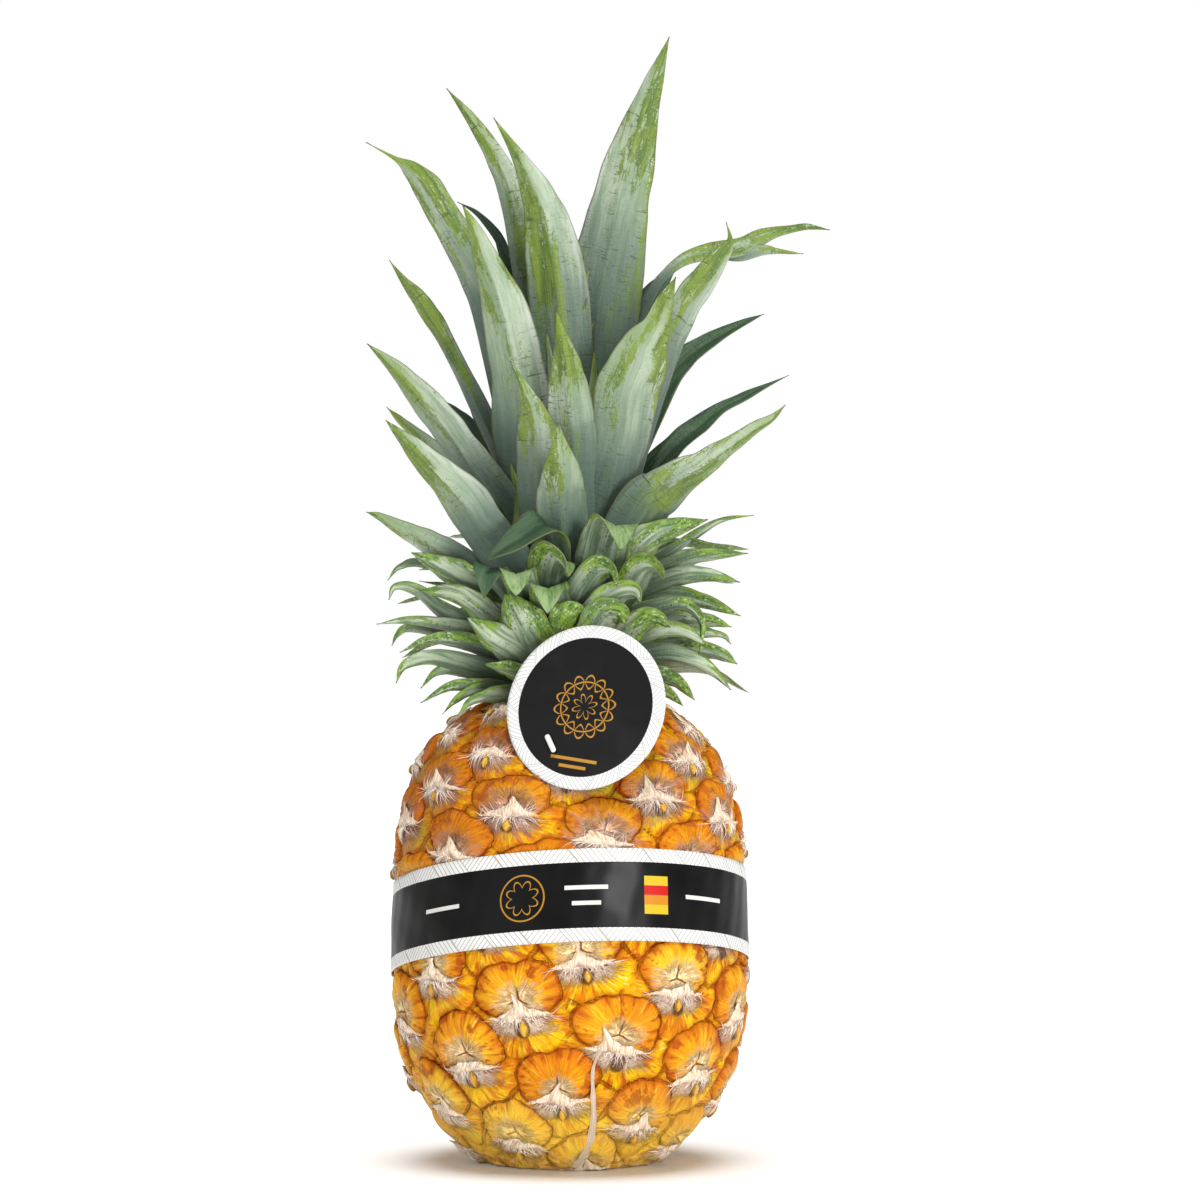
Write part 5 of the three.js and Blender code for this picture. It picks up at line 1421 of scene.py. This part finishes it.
def add_buds(material):
    """A small smooth oval bud under the ridge of most bracts, half sunk among the hairs."""
    draw = np.random.default_rng(41)
    rows, columns = 9, 14
    sheaf = Sheaf()
    polar, turn = np.meshgrid(
        np.linspace(0.04, math.pi - 0.04, rows), np.arange(columns) * 2 * np.pi / columns, indexing="ij"
    )
    for i in range(len(eyes.s)):
        middle_x, middle_y = 0.6 + draw.uniform(-1.2, 1.2), -8.1 + draw.uniform(-0.6, 0.6)
        half_width, half_height = draw.uniform(1.4, 2.0), draw.uniform(2.1, 3.0)
        if draw.random() < 0.2 or eyes.banded[i] or eyes.z[i] < 9:
            continue
        x = middle_x + half_width * np.sin(polar) * np.sin(turn)
        y = middle_y + half_height * np.cos(polar)
        azimuth, s = eyes.place(i, x, y)
        seat_azimuth, seat_s = eyes.place(i, np.array([middle_x]), np.array([middle_y]))
        seat = skin_rise(seat_azimuth, seat_s)[0] + 0.25
        rise = under_band(azimuth, s, seat + 1.3 * np.sin(polar) * np.cos(turn))
        points = profile.point(azimuth, s, rise).reshape(-1, 3)
        if points[:, 2].min() < 0.3 or not clear_of_tag(points).all():
            continue
        marks = marked(np.sin(turn), np.abs(np.cos(polar)), eyes.seed[i])
        sheaf.add(points, tube_faces(rows, columns), marks)
    sheaf.piece("buds", material, "fruit", "leaf")


def add_fibre(material):
    """The long dry fibre: a narrow twisted strip that hangs over the fruitlets."""
    rows, columns = 60, 7
    share = np.linspace(0, 1, rows)
    path = np.array([(azimuth, profile.s_at(height)) for azimuth, height in FIBRE_POINTS])
    at, _ = spline(path, share)
    rise = np.maximum(skin_rise(at[:, 0], at[:, 1]), 1.0)
    smooth = np.convolve(np.pad(rise, 6, mode="edge"), np.ones(13) / 13, mode="valid") + 0.7
    centre = profile.point(at[:, 0], at[:, 1], smooth)
    tangent = unit(np.gradient(centre, axis=0))
    out = unit(centre * (1, 1, 0))
    side = unit(np.cross(tangent, out))
    twist = 0.5 * np.sin(share * 9)[:, None]
    side = unit(side + out * twist)
    normal = np.cross(side, tangent)
    u = np.linspace(-1, 1, columns)[None, :, None]
    half = (0.6 + 1.5 * share**1.6 + 0.12 * np.sin(share * 40))[:, None, None]
    front = centre[:, None] + side[:, None] * u * half - normal[:, None] * 0.35 * u**2
    back = front - out[:, None] * 0.45
    points, faces = thin_sheet(front, back)
    mark = marked(u[..., 0] * 0.45, 0.5 + 0.5 * share[:, None], 0.3)
    add_piece("dry_fibre", points, faces, material, "fruit", {"leaf": ("POINT", np.vstack([mark, mark]))})


# ---- The crown ------------------------------------------------------------------------------

def blade_share(t, form):
    """How wide a blade is along its length: nearly full to its widest, then drawn to a point."""
    widest = form["widest"]
    root = form["root"] + (1 - form["root"]) * np.sin(np.pi / 2 * np.minimum(t / widest, 1))
    tip = 1 - (np.maximum(t - widest, 0) / (1 - widest)) ** form["taper"]
    return np.where(t < widest, root, tip)


def carried(first, tangents):
    """Directions square to a curve that turn with it and don't twist, from its first one."""
    outs = []
    out = first
    for tangent in tangents:
        out = out - tangent * (tangent @ out)
        out = out / np.linalg.norm(out)
        outs.append(out)
    return np.array(outs)


def add_leaf(name, path, widths, azimuth, material, cup_depth, columns, seed):
    """A cupped blade along its midrib, closed, with its outer and inner face a little apart.

    The widths are its full widths at even shares of the way along, one a row. Its outer face
    starts at the azimuth and turns with the midrib, without a twist.
    """
    rows = len(widths)
    t = np.linspace(0, 1, rows)
    centre, tangent = spline(path, t)
    tangent = unit(tangent)
    out = carried(outward(azimuth, OUTER_FACE_DIP), tangent)
    side = np.cross(tangent, out)
    draw = np.random.default_rng(seed)
    phase = draw.uniform(0, 6.28, 5)
    half = np.maximum(widths / 2, 0.18)
    edge_wave = 1 + 0.03 * np.sin(t * 17 + phase[0]) + 0.015 * np.sin(t * 43 + phase[4])
    half = half * np.minimum(edge_wave, 1.03)
    cup = cup_depth * (1 + 0.25 * np.sin(t * 5 + phase[1]))
    u = np.linspace(-1, 1, columns)
    section = (1 - KEEL_SHARE) * np.abs(u) ** CUP_POWER + KEEL_SHARE * np.abs(u)
    bend = -(cup * 2 * half)[:, None] * section[None, :]
    ripple = 0.05 * half[:, None] * np.sin(t * 19 + phase[2])[:, None] * u[None, :] ** 3
    ripple += 0.03 * half[:, None] * np.sin(t * 31 + phase[3])[:, None] * np.maximum(u, 0)[None, :] ** 2
    keel = 0.05 * half[:, None] * np.exp(-((u / 0.10) ** 2))[None, :]
    pleats = 0.006 * half[:, None] * np.cos(u * 19)[None, :]
    offset = (bend + ripple + keel + pleats)[..., None] * out[:, None]
    middle = centre[:, None] + side[:, None] * (half[:, None] * u)[..., None] + offset
    thick = (0.45 * (1 - 0.6 * u**2))[None, :, None] * np.minimum(1, half / 1.2)[:, None, None]
    points, faces = thin_sheet(middle + out[:, None] * thick, middle - out[:, None] * thick)
    length = np.concatenate([[0], np.cumsum(np.linalg.norm(np.diff(centre, axis=0), axis=1))])
    span = marked(half[:, None] * u, length[:, None], (seed * 0.618) % 1)
    add_piece(name, points, faces, material, "crown", {
        "leaf": ("POINT", np.vstack([marked(u, t[:, None], inner) for inner in (0, 1)])),
        "span": ("POINT", np.vstack([span, span])),
    })


def add_long_leaf(i, leaf, material):
    stations, azimuth = leaf
    widths = spline(stations, np.linspace(0, 1, LONG_ROWS))[0][:, 3]
    path = [station[:3] for station in stations]
    add_leaf(f"leaf_{i + 1:02d}", path, widths, azimuth, material, LONG_CUP, 21, 100 + i)


def add_short_leaf(name, leaf, material, form, seed):
    path, width, azimuth = leaf
    widths = width * blade_share(np.linspace(0, 1, SHORT_ROWS), form)
    add_leaf(name, path, widths, azimuth, material, form["cup"], 15, seed)


def repeatable(k):
    wave = math.sin(k * 12.9898 + BACK_LEAF_SEED) * 43758.5453
    return wave - math.floor(wave)


def back_leaves():
    """The short leaves round the back of the stem, by the frame's rule."""
    leaves = []
    for i in range(BACK_LEAF_COUNT):
        up = i / (BACK_LEAF_COUNT - 1)
        azimuth = 180 + (((i * GOLDEN_ANGLE) % 360) / 180 - 1) * BACK_LEAF_SPREAD
        root = np.interp(up, (0, 1), BACK_LEAF_HEIGHTS)
        top = root + np.interp(up, (0, 1), BACK_LEAF_LIFTS)
        out = BACK_LEAF_REACH + BACK_LEAF_FURTHER_REACH * repeatable(i)
        near, far = BACK_LEAF_BENDS
        radii = (BACK_LEAF_ROOT_RADIUS, out * near, out * far, out + BACK_LEAF_TIP_REACH)
        heights = (root, top, top, top - BACK_LEAF_DROOP * (1 - up))
        way = outward(azimuth)
        path = [(way[0] * r, way[1] * r, z) for r, z in zip(radii, heights)]
        leaves.append((path, BACK_LEAF_WIDTH, azimuth))
    return leaves


def add_crown_stem(material):
    """The crown's stem, a lathed core that the leaves wrap."""
    rows, columns = 40, 48
    at, _ = spline(CROWN_CORE, np.linspace(0, 1, rows))
    a = np.arange(columns) * 2 * np.pi / columns
    radius = np.maximum(at[:, 0], 0.01)[:, None] * (1 + 0.03 * np.sin(8 * a + at[:, 1:2] * 0.5))
    height = np.broadcast_to(at[:, 1:2], radius.shape)
    points = around(radius, a, height).reshape(-1, 3)
    add_piece("crown_stem", points, tube_faces(rows, columns), material, "crown", {})


def add_sheaths(material):
    """Short upright leaves that hug the stem at its sides and back, and lean out at their tips."""
    heights = [height for _, height in CROWN_CORE[1:]]
    radii = [radius for radius, _ in CROWN_CORE[1:]]
    for i in range(SHEATH_COUNT):
        up = i / (SHEATH_COUNT - 1)
        azimuth = 45 + 270 * ((i * 0.618) % 1)
        z = np.interp(up, (0, 1), SHEATH_HEIGHTS) + np.array(SHEATH_RISES)
        r = np.interp(z, heights, radii) + np.array(SHEATH_STANDS) * (2.2 - 1.2 * up)
        x, y, _ = outward(azimuth)
        path = [(x * out, y * out, height) for out, height in zip(r, z)]
        widths = (17 - 6 * up) * blade_share(np.linspace(0, 1, SHEATH_ROWS), SHEATH_BLADE)
        cup = SHEATH_BLADE["cup"]
        add_leaf(f"sheath_{i + 1:02d}", path, widths, azimuth, material, cup, 9, 400 + i)


def add_neck_scales(material):
    """Small dry scales round the neck, where the crown springs from the fruit."""
    rows, columns = 9, 7
    v, u = np.meshgrid(np.linspace(0, 1, rows), np.linspace(-1, 1, columns), indexing="ij")
    sheaf = Sheaf()
    for i in range(SCALE_COUNT):
        root = SCALE_ROOT_HEIGHT + 5 * (i / SCALE_COUNT)
        length = SCALE_LENGTH + SCALE_FURTHER_LENGTH * repeatable(i + 50)
        half = SCALE_HALF_WIDTH * (1 - v**1.6) + 0.15
        radius = SCALE_RADIUS + 5.0 * v - 1.2 * u**2 * (1 - v)
        angle = np.radians(i * GOLDEN_ANGLE) + u * half / radius
        height = root + length * v * 0.85
        sheaf.add(*thin_sheet(around(radius, angle, height), around(radius - 0.6, angle, height)))
    sheaf.piece("neck_scales", material, "crown")


def add_crown():
    long_material = leaf_material("long_leaf", False)
    short_material = leaf_material("short_leaf", True)
    stem = stem_material()
    add_crown_stem(stem)
    add_neck_scales(stem)
    add_sheaths(long_material)
    for i, leaf in enumerate(LONG_LEAVES):
        add_long_leaf(i, leaf, long_material)
    for i, leaf in enumerate(SHORT_LEAVES + back_leaves()):
        add_short_leaf(f"short_leaf_{i + 1:02d}", leaf, short_material, SHORT_BLADE, 200 + i)
    for i, leaf in enumerate(SIDE_LEAVES):
        add_short_leaf(f"side_leaf_{i + 1:02d}", leaf, short_material, SIDE_BLADE, 300 + i)


# ---- Band, tag and pin ----------------------------------------------------------------------

def add_band(material):
    """The sleeve: a closed thin ring of film, doubled at the back where its ends overlap."""
    columns, rows = 360, 25
    azimuth, across = np.meshgrid(
        np.arange(columns) * 360 / columns,
        np.linspace(-BAND_WIDTH / 2, BAND_WIDTH / 2, rows),
    )
    s = profile.s_at(band_height(azimuth) + across)
    ease = np.abs(azimuth - 180) - BAND_SEAM_HALF_ANGLE
    seam = BAND_SEAM_STEP * np.clip(0.5 - ease, 0, 1)
    slack = 0.10 * np.sin(azimuth * 0.21 + across * 0.3) + 0.06 * np.sin(azimuth * 0.7 - across * 0.2)
    outer = profile.point(azimuth, s, BAND_STAND_OFF + BAND_THICKNESS * 0.6 + seam + slack)
    inner = profile.point(azimuth, s, BAND_STAND_OFF + slack)
    points, faces = twin_rings(outer, inner)
    size = rows * columns
    faces += [face[::-1] for face in joined_edge(0, columns, size)]
    faces += joined_edge(size - columns, columns, size)
    run = np.where(azimuth > 180, azimuth - 360, azimuth) * math.pi / 180 * BAND_MEAN_RADIUS
    film = marked(run, across, 0)
    add_piece("sleeve_band", points, faces, material, "label_band", {
        "film": ("POINT", np.vstack([film, film])),
    })


def add_tag(material):
    """The round tag: a thin card disc, a little bowed."""
    columns, rows = 120, 28
    far, turn = np.meshgrid(
        np.linspace(0.02, TAG_RADIUS, rows), np.arange(columns) * 2 * np.pi / columns, indexing="ij"
    )
    x, z = far * np.sin(turn), far * np.cos(turn)
    half = TAG_THICKNESS / 2
    front = tag_to_world(x, tag_bend(x, z) - half, z)
    back = tag_to_world(x, tag_bend(x, z) + half, z)
    points, faces = twin_rings(front, back)
    size = rows * columns
    faces.append(tuple(range(columns))[::-1])
    faces.append(tuple(range(size, size + columns)))
    faces += joined_edge(size - columns, columns, size)
    cards = [marked(x, z, side) for side in (0, 1)]
    add_piece("tag_card", points, faces, material, "round_tag", {"card": ("POINT", np.vstack(cards))})


def add_pin(material):
    """The pin: a round-ended bar across the tag's face, and the shank that holds it."""
    rows, columns = 25, 16
    a = np.arange(columns) * 2 * np.pi / columns
    along = np.linspace(-1, 1, rows)[:, None]
    round_end = np.sqrt(np.clip(1 - np.abs(along) ** 10, 0.001, 1))
    ring = PIN_RADIUS * round_end * np.ones(columns)
    depth = -TAG_THICKNESS / 2 - PIN_RADIUS - 0.15 + tag_bend(PIN_AT[0], PIN_AT[1])
    lean = math.radians(PIN_SLANT)
    reach = along * PIN_HALF_LENGTH
    x = reach * math.sin(lean) + ring * np.cos(a) * math.cos(lean) + PIN_AT[0]
    z = reach * math.cos(lean) - ring * np.cos(a) * math.sin(lean) + PIN_AT[1]
    y = depth + ring * np.sin(a) * 0.75
    bar_points = tag_to_world(x, y, z).reshape(-1, 3)
    add_piece("pin_bar", bar_points, tube_faces(rows, columns), material, "tag_pin", {})

    rows = 8
    y = np.linspace(depth, SHANK_END, rows)[:, None] + 0 * a
    x = SHANK_RADIUS * np.cos(a) + PIN_AT[0] + 0 * y
    z = SHANK_RADIUS * np.sin(a) + PIN_AT[1] + 0 * y
    shank_points = tag_to_world(x, y, z).reshape(-1, 3)
    add_piece("pin_shank", shank_points, tube_faces(rows, columns), material, "tag_pin", {})


# ---- Studio ---------------------------------------------------------------------------------

def add_floor():
    """A plain white floor."""
    bpy.ops.mesh.primitive_plane_add(size=14)
    floor = bpy.context.object
    floor.name = "floor"
    paint = Paint("floor")
    grain = paint.noise(paint.place(), 8, 2)
    floor.data.materials.append(paint.finish(
        Base_Color=paint.mix(grain, (0.93, 0.93, 0.93), (0.95, 0.95, 0.95)),
        Roughness=0.9,
        Emission_Color=(1, 1, 1),
        Emission_Strength=0.12,
    ))
    return floor


def add_world():
    """White all round: bright to the camera, and dim as a light."""
    world = bpy.data.worlds.new("studio")
    bpy.context.scene.world = world
    world.use_nodes = True
    nodes, links = world.node_tree.nodes, world.node_tree.links
    background = nodes["Background"]
    path = nodes.new("ShaderNodeLightPath")
    strength = nodes.new("ShaderNodeMapRange")
    strength.inputs["To Min"].default_value = 0.21
    strength.inputs["To Max"].default_value = 1.0
    links.new(path.outputs["Is Camera Ray"], strength.inputs["Value"])
    links.new(strength.outputs[0], background.inputs["Strength"])
    background.inputs["Color"].default_value = (1, 1, 1, 1)


def add_sun(name, azimuth, height, power, spread, floor, link_state):
    """A sun, and whether its light reaches only the floor or all but the floor."""
    lamp = bpy.data.lights.new(name, "SUN")
    lamp.energy = power
    lamp.angle = math.radians(spread)
    holder = bpy.data.objects.new(name, lamp)
    bpy.context.scene.collection.objects.link(holder)
    holder.rotation_euler = (math.radians(90 - height), 0, math.radians(azimuth))
    reach = bpy.data.collections.new(name + "_reach")
    reach.objects.link(floor)
    reach.collection_objects[0].light_linking.link_state = link_state
    holder.light_linking.receiver_collection = reach


def add_studio():
    """A plain white floor under its own even light, and for the fruit a soft light from above, from
    the right and, weaker, from the left.
    """
    floor = add_floor()
    add_world()
    add_sun("floor_light", 0, 90, 3.4, 46, floor, "INCLUDE")
    add_sun("top", 8, 60, 1.95, 12, floor, "EXCLUDE")
    add_sun("key", 34, 5, 2.0, 16, floor, "EXCLUDE")
    add_sun("fill", -42, 5, 0.42, 40, floor, "EXCLUDE")


def add_camera():
    """A level camera with a long lens, straight in front of the fruit."""
    camera = bpy.data.cameras.new("camera")
    holder = bpy.data.objects.new("camera", camera)
    bpy.context.scene.collection.objects.link(holder)
    holder.location = CAMERA_AT
    holder.rotation_euler = (math.pi / 2, 0, 0)
    camera.lens = CAMERA_LENS
    camera.sensor_width = CAMERA_SENSOR
    bpy.context.scene.camera = holder


# ---- The whole picture ----------------------------------------------------------------------

add_camera()
add_studio()
bract = bract_material()
add_rind(rind_material())
add_bracts(bract)
add_bract_hairs(strand_material())
add_buds(bud_material())
add_fibre(bract)
add_crown()
add_band(band_material())
add_tag(tag_material())
add_pin(pin_material())
bpy.context.scene.view_settings.view_transform = "Standard"
